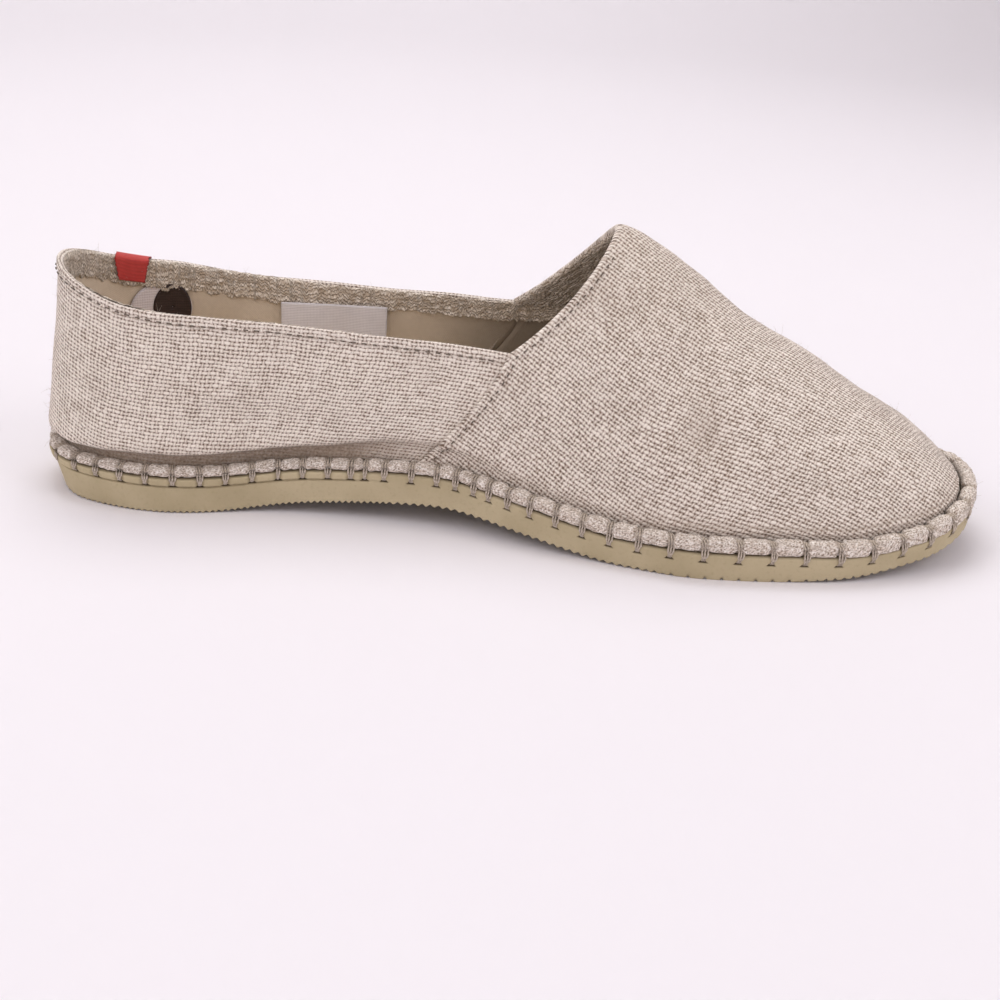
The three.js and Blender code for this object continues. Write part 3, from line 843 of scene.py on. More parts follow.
def build_sole():
    columns = 2000
    walked = np.linspace(rim_round.inner_toe, rim_round.outer_toe, columns, endpoint=False)
    w = rim_round.way(walked)
    x = plan_point(w, 0)[:, 0]
    near = to_stitch(walked)
    lip = 1 - soft_step(x, *LIP_ENDS)
    wavy = Wobble(5, 30)
    tall = rubber_top(x) - underside(x)

    def ring(inset, height, rake):
        flat = plan_point(w, np.broadcast_to(inset, w.shape))
        flat[:, 0] += rake * HEEL_RAKE * (1 - flat[:, 0] / LENGTH) ** RAKE_FADE
        return np.column_stack([flat, height(flat[:, 0])])

    def wall_ring(drop):
        """A row of the side wall, drop below the top edge."""
        share = np.clip(drop / tall, 0, 1)
        stand, groove = lip_shape(drop, near)
        hole = needle_hole(drop, near)
        uneven = 0.12 * wavy(np.column_stack([x, walked * 0, drop + x * 0]))
        inset = FOOT_INSET * share - LIP_OUT * stand * lip + LIP_GROOVE * groove * lip
        inset = inset + HOLE_DEPTH * hole + uneven
        row = ring(inset, lambda at: at * 0, share)
        row[:, 2] = np.maximum(rubber_top(x) - drop, underside(x) + tread(x) + 0.02 * (tall - drop))
        row[:, 2] += LIP_LIFT * lip * clear_of_stitch(near) * soft_step(2.0 - drop, 0, 1.4)
        notch = (1 - soft_step(np.abs(near), 0.6, 1.7)) * (1 - soft_step(drop, LIP_HEIGHT - 0.7, LIP_HEIGHT))
        across, toothed = grooves(x)
        cut = across * (1 - toothed) * (1 - soft_step(tall - drop, 0.4, 1.6))
        # Painted shade: the second value darkens the rubber in the needle hole, the cross grooves and the
        # lip's groove and notches.
        return row, np.clip(1.6 * hole + 0.8 * cut + lip * (0.22 * groove + 0.18 * notch), 0, 1)

    bite = lambda at: underside(at) + tread(at)
    # Each row carries how much darker the rubber is painted: the underside, and the top under the cord, more
    # than the side.
    rows = [(ring(UNDERSIDE_INSET, bite, 1), 0.45)]
    rows += [wall_ring(tall - rise) for rise in (0.0, 0.35, 0.7, 1.05, 1.5)]
    rows += [wall_ring(4.4 + (tall - 6.4) * (1 - share)) for share in (0.1, 0.4, 0.7, 1)]
    rows += [wall_ring(drop + 0 * x) for drop in np.linspace(4.2, EDGE_ROUND, 20)]
    rows.append((ring(0.25, lambda at: rubber_top(at) - 0.25, 0), 0.3))
    rows.append((ring(EDGE_ROUND, rubber_top, 0), 0.6))
    rows.append((ring(FEATHER_INSET + 3, rubber_top, 0), 0.6))
    grid = np.stack([row for row, _ in rows], 0)
    shade_and_dirt = np.stack([np.broadcast_to(d, w.shape) for _, d in rows], 0)
    points, marks = [grid.reshape(-1, 3)], [shade_and_dirt.ravel()]
    quads = [grid_quads(len(rows), columns, wrap_columns=True)]
    count = grid[..., 0].size
    half = columns // 2
    back = (columns - np.arange(half + 1)) % columns
    for row, height, across, flip in ((0, bite, 8, True), (len(rows) - 1, rubber_top, 3, False)):
        near_side, far_side = grid[row, : half + 1], grid[row][back]
        s = np.linspace(0, 1, across + 1)[1:-1]
        inside = near_side[:, None] * (1 - s[None, :, None]) + far_side[:, None] * s[None, :, None]
        inside[..., 2] = height(inside[..., 0])
        points.append(inside.reshape(-1, 3))
        cut = cut_up(inside[..., 0]) if row == 0 else 0 * inside[..., 0]
        # The underside's teeth and grooves are painted darker, as shade.
        marks.append(0.08 + 0.4 * cut.ravel())
        edge = row * columns
        middle = count + np.arange(inside[..., 0].size).reshape(half + 1, across - 1)
        index = np.concatenate([(edge + np.arange(half + 1))[:, None], middle, (edge + back)[:, None]], 1)
        lid = np.stack([index[:-1, :-1], index[:-1, 1:], index[1:, 1:], index[1:, :-1]], -1).reshape(-1, 4)
        quads.append(lid[:, ::-1] if flip else lid)
        count += inside[..., 0].size
    make_piece(
        "rubber_sole", np.concatenate(points), np.concatenate(quads), "outsole", crepe_rubber,
        ("outsole",), grime=np.concatenate(marks),
    )


build_sole()

# %% [markdown]
# ## The cord
# A soft cord wrapped in linen lies on the edge of the rubber. The stitches pinch it, so between them it
# swells into pillows. It is one tube round the shoe whose section grows and shrinks, rather than many
# beads, because the real cord is one piece and its threads run on under the stitches.

# %% Cord
PINCH = 0.7  # the cord's size at a stitch
PILLOW = 1.12  # and between two stitches
PUFF = 0.25  # how much wider than its place the cord swells
PUFF_OUT = 0.1
CORD_LOW = 0.36  # the stitches press the top of the cord down by this share
# the cord's height as a share of the usual one, and how far it droops over the rubber
CORD_TALL = {"at": (0, 0.3, 0.42, 0.6, 1), "share": (0.74, 0.76, 0.92, 1.12, 1.12)}
CORD_DROOP = {"at": (0, 0.7, 0.92, 1), "down": (0.2, 0.3, 1.1, 1.1)}
cord_tall = smooth_curve(CORD_TALL["at"], CORD_TALL["share"])
cord_droop = smooth_curve(CORD_DROOP["at"], CORD_DROOP["down"])


def build_cord():
    columns, around = 1700, 24
    whole = rim_round.outer_toe - rim_round.inner_toe
    walked = np.linspace(rim_round.inner_toe, rim_round.outer_toe, columns, endpoint=False)
    w = rim_round.way(walked)
    out = way_out(plan_edge, w)
    swell = PINCH + (PILLOW - PINCH) * soft_step(np.abs(to_stitch(walked)), 0.4, 1.9)
    puff = np.random.default_rng(3).uniform(-1, 1, len(STITCHES) + 2)[gap_number(walked)]
    swell *= 1 + 0.05 * puff
    angle = np.linspace(-np.pi, np.pi, around, endpoint=False)
    lumps = Wobble(8, 3.2)
    middle = plan_point(w, CORD_INSET + CORD_WIDTH / 2)
    base = rubber_top(middle[:, 0]) + SEAT_GAP * 0.3
    # a slightly squared circle: c leads out of the shoe and s up
    c = np.sign(np.cos(angle)) * np.abs(np.cos(angle)) ** 0.85
    s = np.sign(np.sin(angle)) * np.abs(np.sin(angle)) ** 0.85
    reach = (CORD_WIDTH / 2 + PUFF) * swell[:, None] * c + PUFF_OUT
    rise = CORD_HEIGHT / 2 * (1 + np.where(s > 0, (swell[:, None] - CORD_LOW) * s, s * 0.96))
    rise = rise * cord_tall(middle[:, :1] / LENGTH)
    full = soft_step(swell, PINCH + 0.1, 1.05)[:, None]
    rise -= cord_droop(middle[:, :1] / LENGTH) * full * soft_step(c, 0.35, 0.9) * soft_step(-s, -0.3, 0.5)
    points = np.concatenate(
        [middle[:, None] + reach[..., None] * out[:, None], (base[:, None] + rise)[..., None]], -1
    )
    grid = points + 0.16 * lumps(points)[..., None] * normals_of(points)
    cloth = np.stack(
        [
            np.broadcast_to(walked[:, None], reach.shape) * MM,
            np.broadcast_to(angle, reach.shape) * 2.3 * MM,
            0 * reach,
        ],
        -1,
    )
    # Painted shade: darker where a stitch pinches the cord, most on its top, and on its underside and inner
    # side, where it lies against the rubber and the cloth.
    pinch = (1 - soft_step(np.abs(to_stitch(walked)), 0.5, 1.6))[:, None] * np.ones(around)
    tuck = soft_step(-s, 0.75, 1) + soft_step(-c, 0.4, 1) * 0.8
    grime = np.clip(pinch * (0.2 + 0.5 * soft_step(s, 0.2, 0.8)) + 0.7 * tuck, 0, 1)
    quads = grid_quads(columns, around, wrap_rows=True, wrap_columns=True)[:, ::-1]
    print("cord", round(whole, 1), "mm long")
    make_piece(
        "cord", grid, quads, "cord_welt", cord_linen, ("cord_welt",),
        cloth=cloth, grime=grime,
    )


build_cord()

# %% [markdown]
# ## Threads
# Every thread is a thin tube along a line of points. One function lays a round section along many lines
# at once and joins them into one mesh, which keeps hundreds of stitches light.

# %% Tubes along lines
def tubes(lines, radius, sides=6, flat=1.0):
    """Points, quads and cloth places of round tubes along lines, an array of tubes x points x 3."""
    lines = np.asarray(lines, float)
    count, steps, _ = lines.shape
    ahead = np.gradient(lines, axis=1)
    ahead /= np.maximum(np.linalg.norm(ahead, axis=-1, keepdims=True), 1e-9)
    up = np.where(np.abs(ahead[..., 2:3]) > 0.9, (1.0, 0, 0), (0, 0, 1.0))
    side = np.cross(ahead, up)
    side /= np.linalg.norm(side, axis=-1, keepdims=True)
    up = np.cross(side, ahead)
    angle = np.linspace(0, 2 * np.pi, sides, endpoint=False)[:, None]
    radius = np.broadcast_to(np.asarray(radius, float), (count, steps))[..., None, None]
    ring = side[:, :, None] * np.cos(angle) + up[:, :, None] * np.sin(angle) * flat
    points = lines[:, :, None] + radius * ring
    one = grid_quads(steps, sides, wrap_columns=True)
    quads = (one[None] + (np.arange(count) * steps * sides)[:, None, None]).reshape(-1, 4)
    length = np.concatenate(
        [np.zeros((count, 1)), np.cumsum(np.linalg.norm(np.diff(lines, axis=1), axis=-1), 1)], 1
    )
    cloth = np.zeros(points.shape)
    cloth[..., 0] = length[..., None] * MM
    cloth[..., 1] = np.arange(sides) / sides
    return points.reshape(-1, 3), quads, cloth.reshape(-1, 3)


# %% [markdown]
# ## Blanket stitches
# Each stitch is two or three threads side by side. They come out of the cloth above the cord, go over it
# and down the rubber, and end in the needle hole. Towards the toe they slant and bow a little, as they
# do when a sewer pulls them tight from one side.

# %% Blanket stitches
STITCH_RADIUS = 0.3
THREAD_GAP = 0.6
BOWED = (160, 230)  # the stitches begin to slant and bow between these, mm from the heel


def build_stitches():
    random = np.random.default_rng(21)
    turn = np.radians(np.linspace(130, -38, 10))
    pinched = PINCH * (CORD_WIDTH / 2 + PUFF) + STITCH_RADIUS
    wall = CORD_WIDTH / 2 + CORD_INSET + STITCH_RADIUS
    down_rubber = wall - np.array([0.2, 0.05, 0.1, 0.25, 1.1])
    reach = np.concatenate([[-1.9], pinched * np.cos(turn) + PUFF_OUT, down_rubber])
    rise = CORD_HEIGHT / 2 + ((PINCH - CORD_LOW) * CORD_HEIGHT / 2 + STITCH_RADIUS) * np.sin(turn)
    rise = np.concatenate([[CORD_HEIGHT * 0.7], rise, -HOLE_DROP * np.array([-0.15, 0.2, 0.5, 0.8, 0.98])])
    down = np.linspace(0.5, -0.5, len(reach))
    lines = []
    for walked in STITCHES:
        x = plan_point(rim_round.way(walked), 0)[0]
        count = 2 if random.random() < 0.15 else 3
        forward = soft_step(x, *BOWED)
        slant = random.uniform(0, 0.5) + 1.1 * forward
        bow = (0.2 + 0.9 * forward) * random.uniform(0.8, 1.2)
        for k in range(count):
            fan = THREAD_GAP * (k - (count - 1) / 2) * (1 + 0.5 * np.sin(np.pi * (0.5 + down)))
            place = walked + fan * (1 - 0.45 * (down < -0.35)) + random.normal(0, 0.06)
            place += slant * (0.5 + down) - bow * np.sin(np.pi * (0.5 + down))
            flat = plan_point(rim_round.way(place), CORD_INSET + CORD_WIDTH / 2 - reach)
            scaled = np.where(rise > 0, rise * cord_tall(x / LENGTH), rise)
            lines.append(np.column_stack([flat, rubber_top(flat[:, 0]) + scaled]))
    points, quads, cloth = tubes(lines, STITCH_RADIUS)
    make_piece("blanket_stitches", points, quads, "cord_welt", sewing_thread, cloth=cloth)


build_stitches()

# %% [markdown]
# ## Closed cloth
# A panel of the upper has an outer face, a folded edge and an inner face. Its rows run up the outside,
# round the fold and down the inside, and the last row joins the first, so the panel is one closed body
# with real thickness. Its two ends are zipped shut.

# %% Closed rolls of cloth
def rolled_quads(rows, columns):
    """Quads of a closed roll: the rows join round, and the two ends are zipped."""
    quads = [grid_quads(rows, columns, wrap_rows=True)]
    k = np.arange((rows - 1) // 2)
    for column in (0, columns - 1):
        a, b = k * columns + column, (rows - 1 - k) * columns + column
        cap = np.stack([a, b, b - columns, a + columns], -1)
        cap = cap[(cap[:, 1] != cap[:, 2]) & (cap[:, 2] != cap[:, 3])]
        quads.append(cap[:, ::-1] if column else cap)
    return np.concatenate(quads)


def faces_out(grid):
    """Normals of a grid of one face of the upper, turned away from the middle of the shoe."""
    out = normals_of(grid)
    middle = np.array([LENGTH / 2, 0, 25.0])
    away = grid - middle
    away[..., 0] *= 0.2
    return out * np.sign(np.mean(np.sum(out * away, -1)))


def fold_rows(outer_edge, inner_edge, onward, swell, steps=5):
    """Rows round a folded edge, from the outer face to the inner one. onward points out of the edge."""
    middle = (outer_edge + inner_edge) / 2
    radius = np.linalg.norm(outer_edge - inner_edge, axis=-1, keepdims=True) / 2
    angle = np.linspace(0, np.pi, steps + 2)[1:-1]
    rows = [(outer_edge - middle) * np.cos(a) + onward * radius * swell * np.sin(a) for a in angle]
    return middle + np.stack(rows)


def t_below_rim(last, w, drop):
    """Where t is a given height below the free edge, closed in on by a few steps."""
    top, foot = last_point(last, w, 1.0)[..., 2], last_point(last, w, 0.0)[..., 2]
    t = np.ones(np.broadcast(w, drop).shape)
    for _ in range(14):
        below = top - last_point(last, w, t)[..., 2]
        t = np.clip(t * (1 + (below - drop) / (top - foot)), 0, 1)
    return t


# %% [markdown]
# ## Soft creases
# Worn cloth is never a clean loft. The main creases are listed one by one as soft troughs, each between two
# places on the side of the shoe, and slow wobbles add the rest. Near the sole the cloth is drawn in at
# every stitch, so it gathers a little.

# %% Creases
# side, from (x, height), to (x, height), half width, depth; a minus depth is a ridge
CREASES = (
    (-1, (202, 62), (210, 40), 9.0, 1.3),
    (-1, (212, 38), (232, 24), 8.0, 0.7),
    (-1, (190, 46), (196, 28), 9.0, -0.4),
    (-1, (232, 44), (262, 27), 9.0, 0.35),
    (-1, (158, 30), (182, 24), 5.0, 0.6),
    (-1, (70, 44), (112, 36), 7.0, -0.5),
    (-1, (52, 34), (92, 29), 5.0, 0.6),
    (-1, (22, 54), (34, 34), 6.0, 0.5),
    (-1, (100, 30), (118, 46), 6.0, 0.5),
    (1, (204, 52), (220, 32), 12.0, 0.8),
    (1, (160, 34), (186, 26), 6.0, 0.6),
    (1, (48, 40), (96, 32), 6.0, 0.6),
    (1, (110, 46), (124, 28), 6.0, -0.5),
    (1, (24, 56), (32, 36), 6.0, 0.5),
)
GATHER_PITCH = 8.5
cloth_wobble = Wobble(41, 46)
cloth_ripple = Wobble(42, 15)


def crease_depth(points, side):
    """How deep the creases are. side is -1 on the inner side, 1 on the outer, and between over the top."""
    fall = np.zeros(points.shape[:-1])
    x, z = points[..., 0], points[..., 2]
    for where, start, end, width, depth in CREASES:
        ax, az = end[0] - start[0], end[1] - start[1]
        share = np.clip(((x - start[0]) * ax + (z - start[1]) * az) / (ax * ax + az * az), 0, 1)
        near2 = (x - start[0] - share * ax) ** 2 + (z - start[1] - share * az) ** 2
        fall += (1 + where * side) / 2 * depth * np.exp(-near2 / width**2)
    return fall


def slack(points, side):
    """How far the cloth stands out from the last, mm."""
    x, above_sole = points[..., 0], points[..., 2] - rubber_top(points[..., 0])
    gather = np.sin(2 * np.pi * x / GATHER_PITCH) * np.exp(-above_sole / 6)
    wobble = 0.35 * cloth_wobble(points) + 0.16 * cloth_ripple(points)
    return wobble - crease_depth(points, side) + 0.12 * gather


# %% [markdown]
# ## The quarter
# One band of linen runs from the side seam round the heel to the other seam. It stands behind the cord,
# rolls out over it, and its top edge is turned in over the lining as the topline. Forward of the seam it
# sinks under the vamp.

# %% Quarter cloth
SEAM_FOOT = 119.5  # the side seam meets the sole here, mm from the heel
SEAM_BOW = 0.5  # the seam leans less at its top than at its foot
SEAM_TOP = CORNER_AT * LENGTH
TUCK = 8  # cloth hidden under the vamp
HEM_BAND = 2.2
HEM_RISE = 0.5
CLOTH = 1.1  # thickness of the outer cloth


def seam_x(t):
    return SEAM_FOOT + (SEAM_TOP - SEAM_FOOT) * (t + SEAM_BOW * t * t * (1 - t))


def quarter_ways(s, t):
    """Ways for s from -1 at the inner seam to 1 at the outer one, at each t."""
    front = outside_last.way_at(np.minimum(seam_x(t) + TUCK * (1 - t), SEAM_TOP - 0.2))
    return s * front


def grime_low(points):
    """The cloth below the fold is in its own shade, rubbed and fuzzy: painted shade darkens it there, and a
    little just above the fold.
    """
    x = points[..., 0]
    above = points[..., 2] - rubber_top(x) - SEAT_GAP - CORD_HEIGHT - fold_up(x / LENGTH)
    band = (1 - soft_step(above, -0.9, 0.35)) * (1 - soft_step(x, 96, 122) * 0.6)
    band = band * (0.9 + 0.1 * cloth_ripple(points))
    return 0.95 * band + 0.2 * np.exp(-((above - 1.5) / 3.0) ** 2) * (1 - band)


def cloth_lengths(grid, middle_row):
    """Flat places of a grid of cloth: length along one row, and length up each column."""
    along = np.linalg.norm(np.diff(grid[middle_row], axis=0), axis=-1)
    along = np.concatenate([[0], np.cumsum(along)])
    up = np.linalg.norm(np.diff(grid, axis=0), axis=-1)
    up = np.concatenate([np.zeros((1, grid.shape[1])), np.cumsum(up, 0)])
    along = np.broadcast_to(along - along[len(along) // 2], up.shape)
    return np.stack([along * MM, up * MM, 0 * up], -1)


def build_quarter():
    columns = 380
    s = np.linspace(-1, 1, columns)[None, :]
    spans = ((0, 0.2, 44), (0.2, 0.92, 40), (0.92, 1, 20))  # rows are closer at the foot and at the rim
    t = np.concatenate([[0]] + [np.linspace(*span)[1:] for span in spans])[:, None]
    w = quarter_ways(s, t)
    side = np.where(s < 0, -1, 1)
    face = last_point(outside_last, w, t)
    out = faces_out(face)
    rim = rim_height(face[-1:, :, 0])
    drop = rim - face[..., 2]
    hem = HEM_RISE * soft_step(HEM_BAND + 0.5 - drop, 0, 0.7)
    sunk = 1.3 * soft_step(face[..., 0] - seam_x(t), 0.5, 4)
    free = soft_step(drop, 0, 12) * soft_step(t, 0, 0.05)
    dashed = soft_step(np.sin(2 * np.pi * face[..., 0] / 3.2 + 2 * cloth_ripple(face)), -0.3, 0.6)
    pinched = 0.35 * dashed * soft_bump(drop, HEM_BAND - 0.2, 1.6)
    outer = face + out * (slack(face, side) * (0.25 + 0.75 * free) + hem - pinched - sunk)[..., None]
    uneven = 0.5 * cloth_wobble(face * 1.3) * soft_step(8 - drop, 0, 8)
    outer[..., 2] += uneven * (1 - soft_step(np.abs(s), 0.9, 1))
    inner_last = Last(WALL)
    t_in = t_below_rim(inner_last, w[-1:], np.linspace(0.3, 3.2, 4)[:, None])
    inside = last_point(inner_last, w[-1:], t_in)
    inside[..., 2] += outer[-1:, :, 2] - face[-1:, :, 2]
    fold = fold_rows(outer[-1], inside[0], np.array([0, 0, 1.0]), swell=0.5)
    back = last_point(Last(CLOTH), w[::-1], np.minimum(t[::-1], 0.97))
    back -= out[::-1] * sunk[::-1][..., None]
    grid = np.concatenate([outer, fold, inside, back])
    cloth = cloth_lengths(grid, 60)
    cloth[..., 1] -= cloth[len(t) - 1, :, 1]
    # Painted shade: the band under the fold, the hidden back face, the groove below the hem, and a line
    # beside the vamp's edge.
    grime = [grime_low(face), 0 * fold[..., 0], 0 * inside[..., 0], 0 * back[..., 0] + 0.5]
    grime = np.concatenate(grime)
    shadow = 0.55 * soft_bump(drop, HEM_BAND + 0.4, 0.8) * dashed
    beside = 0.35 * np.exp(-(((face[..., 0] - seam_x(t) + 0.3) / 1.3) ** 2))
    grime[: len(t)] = np.clip(grime[: len(t)] + shadow + beside, 0, 1)
    make_piece(
        "quarter_cloth", grid, rolled_quads(*grid.shape[:2]), "upper", quarter_linen,
        cloth=cloth, grime=grime,
    )


build_quarter()

# %% [markdown]
# ## The vamp
# The front panel is cut on its own, with the threads running along the ridge of the foot, so its rows
# slope down towards the toe. Its back edge is a folded hem: up the side seam over the quarter, then up
# the slanting edge of the throat to its top, and down the other side. To run the threads, the panel is
# unrolled: each point gets its distance from the ridge and the place of its foot along it.

# %% Unrolling the vamp
GRAIN = {"at": (0.4, 0.6, 0.68, 0.82, 1), "fall": (37, 37, 34, 24, 24)}  # degrees below level
GRAIN_TURN = math.radians(33)  # the cross threads stand square to this


def section_falls(side, ways=240, turns=160):
    """Length down each section from its ridge, on a table of ways by angles."""
    u = np.linspace(0, 1, ways)[:, None]
    foot, _, tall, power, _, ridge = section_numbers(outside_last, side * u * 0.99999)
    angle = np.linspace(0, np.pi / 2, turns)[None, :]
    z = tall * np.sin(angle) ** (2 / power)
    y = ridge + (foot[..., 1] - ridge) * np.maximum(np.cos(angle), 0) ** (2 / power)
    step = np.hypot(np.diff(y, axis=1), np.diff(z, axis=1))
    up = np.concatenate([np.zeros((ways, 1)), np.cumsum(step, 1)], 1)
    return up[:, -1:] - up


FALLS = {side: section_falls(side) for side in (-1, 1)}


def fall_at(w, angle):
    side = np.where(w < 0, -1, 1)
    found = np.zeros(w.shape)
    for which, table in FALLS.items():
        a = np.clip(np.abs(w), 0, 1) * (table.shape[0] - 1)
        b = np.clip(angle / (np.pi / 2), 0, 1) * (table.shape[1] - 1)
        i, j = np.minimum(a.astype(int), table.shape[0] - 2), np.minimum(b.astype(int), table.shape[1] - 2)
        a, b = a - i, b - j
        low_row = table[i, j] * (1 - b) + table[i, j + 1] * b
        high_row = table[i + 1, j] * (1 - b) + table[i + 1, j + 1] * b
        found = np.where(side == which, low_row * (1 - a) + high_row * a, found)
    return found


def grain_table(samples=600):
    """Along x: the ridge's height, a line that falls with the grain, and the angle it falls at."""
    x = np.linspace(outside_last.heel, outside_last.heel + outside_last.span, samples)
    height = INSTEP_HEIGHT * section["crest"]((x - outside_last.heel) / outside_last.span)
    angle = np.radians(smooth_curve(GRAIN["at"], GRAIN["fall"])(x / LENGTH))
    line = INSTEP_HEIGHT - np.cumsum(np.tan(angle)) * (x[1] - x[0])
    return x, height, line + np.interp(PEAK_AT * LENGTH, x, INSTEP_HEIGHT - line), angle


RIDGE_X, RIDGE_HEIGHT, GRAIN_LINE, GRAIN_ANGLE = grain_table()


def vamp_cloth(w, turn):
    """Places in the flat vamp, from ways and turns: along the grain, and across it."""
    foot = outside_last.edge(w)
    x = foot[..., 0]
    flat_z = np.interp(x, RIDGE_X, RIDGE_HEIGHT) - fall_at(w, turn * np.pi / 2)
    across = (np.interp(x, RIDGE_X, GRAIN_LINE) - flat_z) * np.cos(np.interp(x, RIDGE_X, GRAIN_ANGLE))
    along = x * math.cos(GRAIN_TURN) - flat_z * math.sin(GRAIN_TURN)
    return np.stack([along, across, 0 * across], -1) * MM


print("grain falls at", np.round(np.degrees(GRAIN_ANGLE[[0, -1]])), "degrees")

# %% [markdown]
# ## The vamp's cloth
# The panel is one grid. Its columns run from the back edge to the toe, and crowd together near the
# ridge, where the cloth turns sharply. The hem is folded back on itself, so it is thick there, and
# stands over the quarter along the seam. The same folded edge goes on round the throat.

# %% Vamp cloth
THROAT_SHARE = 0.42  # share of the vamp's rows that end on the throat edge
LAP_RISE = 0.75  # how far the folded hem stands over the quarter
LAP_FADE = 14
OVER_TOP = 0.2  # the creases of one side die out this far over the middle of the vamp
PEAK_RISE = 1.3  # the stitched top of the throat stands up a little
CREASE_SHADE_AT = (207, 43)  # x and height of the painted shade in the big crease of the inner side
CREASE_SHADE_SIZE = (9, 14)
CREASE_SHADE = 0.34
THROAT_DARKENING = 0.27  # the cloth is darker up towards the throat


def throat_ends():
    """The ways of the collar's corner and of the top of the throat."""
    return outside_last.way_at(SEAM_TOP), outside_last.way_at(PEAK_AT * LENGTH - 1e-3)


def throat_walk(samples=4000):
    """Length along the throat's edge, as shares, for steps that crowd towards its top."""
    corner, peak = throat_ends()
    edge = last_point(outside_last, corner + (peak - corner) * np.linspace(0, 1, samples) ** 0.35, 1.0)
    walk = np.concatenate([[0], np.cumsum(np.linalg.norm(np.diff(edge, axis=0), axis=1))])
    return walk / walk[-1]


THROAT_WALK = throat_walk()


def vamp_turns(s, v):
    """w and turn of the vamp: s from 0 at its back edge to 1 at the toe, v from -1 to 1 across it.

    The turn goes from 0 at the sole to 1 at the ridge. Behind the top of the throat the free edge
    comes before 1.
    """
    across = np.abs(v)
    corner, peak = throat_ends()
    t_seam = np.clip((1 - across) / (1 - THROAT_SHARE), 0, 1)
    on_throat = np.clip(1 - across / THROAT_SHARE, 0, 1)
    throat = np.interp(on_throat, THROAT_WALK, np.linspace(0, 1, len(THROAT_WALK)) ** 0.35)
    on_seam = outside_last.way_at(seam_x(t_seam))
    back = np.where(across > THROAT_SHARE, on_seam, corner + (peak - corner) * throat)
    first = t_seam * section_numbers(outside_last, back)[4] / (np.pi / 2)
    first = np.where(across < 1e-9, 1, first)
    u = back + (1 - back) * s
    turn = first + (1 - across - first) * (1 - (1 - s) ** 2)
    return np.where(v < 0, -u, u), turn


def vamp_ways(s, v):
    """w and t of the vamp: the same as above, with t = 1 at the free edge or the ridge."""
    w, turn = vamp_turns(s, v)
    return w, np.minimum(turn * (np.pi / 2) / section_numbers(outside_last, w)[4], 1)


def across_edge(face):
    """Which way the back edge of the vamp points, and how far each step along a column takes from it."""
    along = np.gradient(face[0], axis=0)
    along /= np.maximum(np.linalg.norm(along, axis=-1, keepdims=True), 1e-9)
    backward = face[0] - face[3]
    backward /= np.linalg.norm(backward, axis=-1, keepdims=True)
    backward -= np.sum(backward * along, -1, keepdims=True) * along
    lean = np.linalg.norm(backward, axis=-1, keepdims=True)
    backward /= lean
    walk = np.cumsum(np.linalg.norm(np.diff(face, axis=0, prepend=face[:1]), axis=-1), 0)
    return backward, walk * lean[None, :, 0]


def spread_columns(count):
    """Values of v, closer together near the ridge, where the cloth turns sharply."""
    even = np.linspace(-1, 1, count)
    return (0.45 * even + 0.55 * np.sign(even) * np.abs(even) ** 1.6)[None, :]


def gathered(points):
    """The vamp's lower edge shows round the toe as a low gathered ridge, with a broken shadow above it."""
    x = points[..., 0]
    above = points[..., 2] - rubber_top(x) - SEAT_GAP - CORD_HEIGHT - 0.9 - 0.5 * cloth_ripple(points)
    forward = soft_step(x, 180, 215)
    ridge = 0.4 * np.exp(-((above / 0.7) ** 2))
    # Painted shadow: the broken shadow above the ridge goes into the colour through the mark.
    shadow = 0.45 * np.exp(-(((above - 1.3) / 0.5) ** 2))
    return ridge * forward, shadow * forward


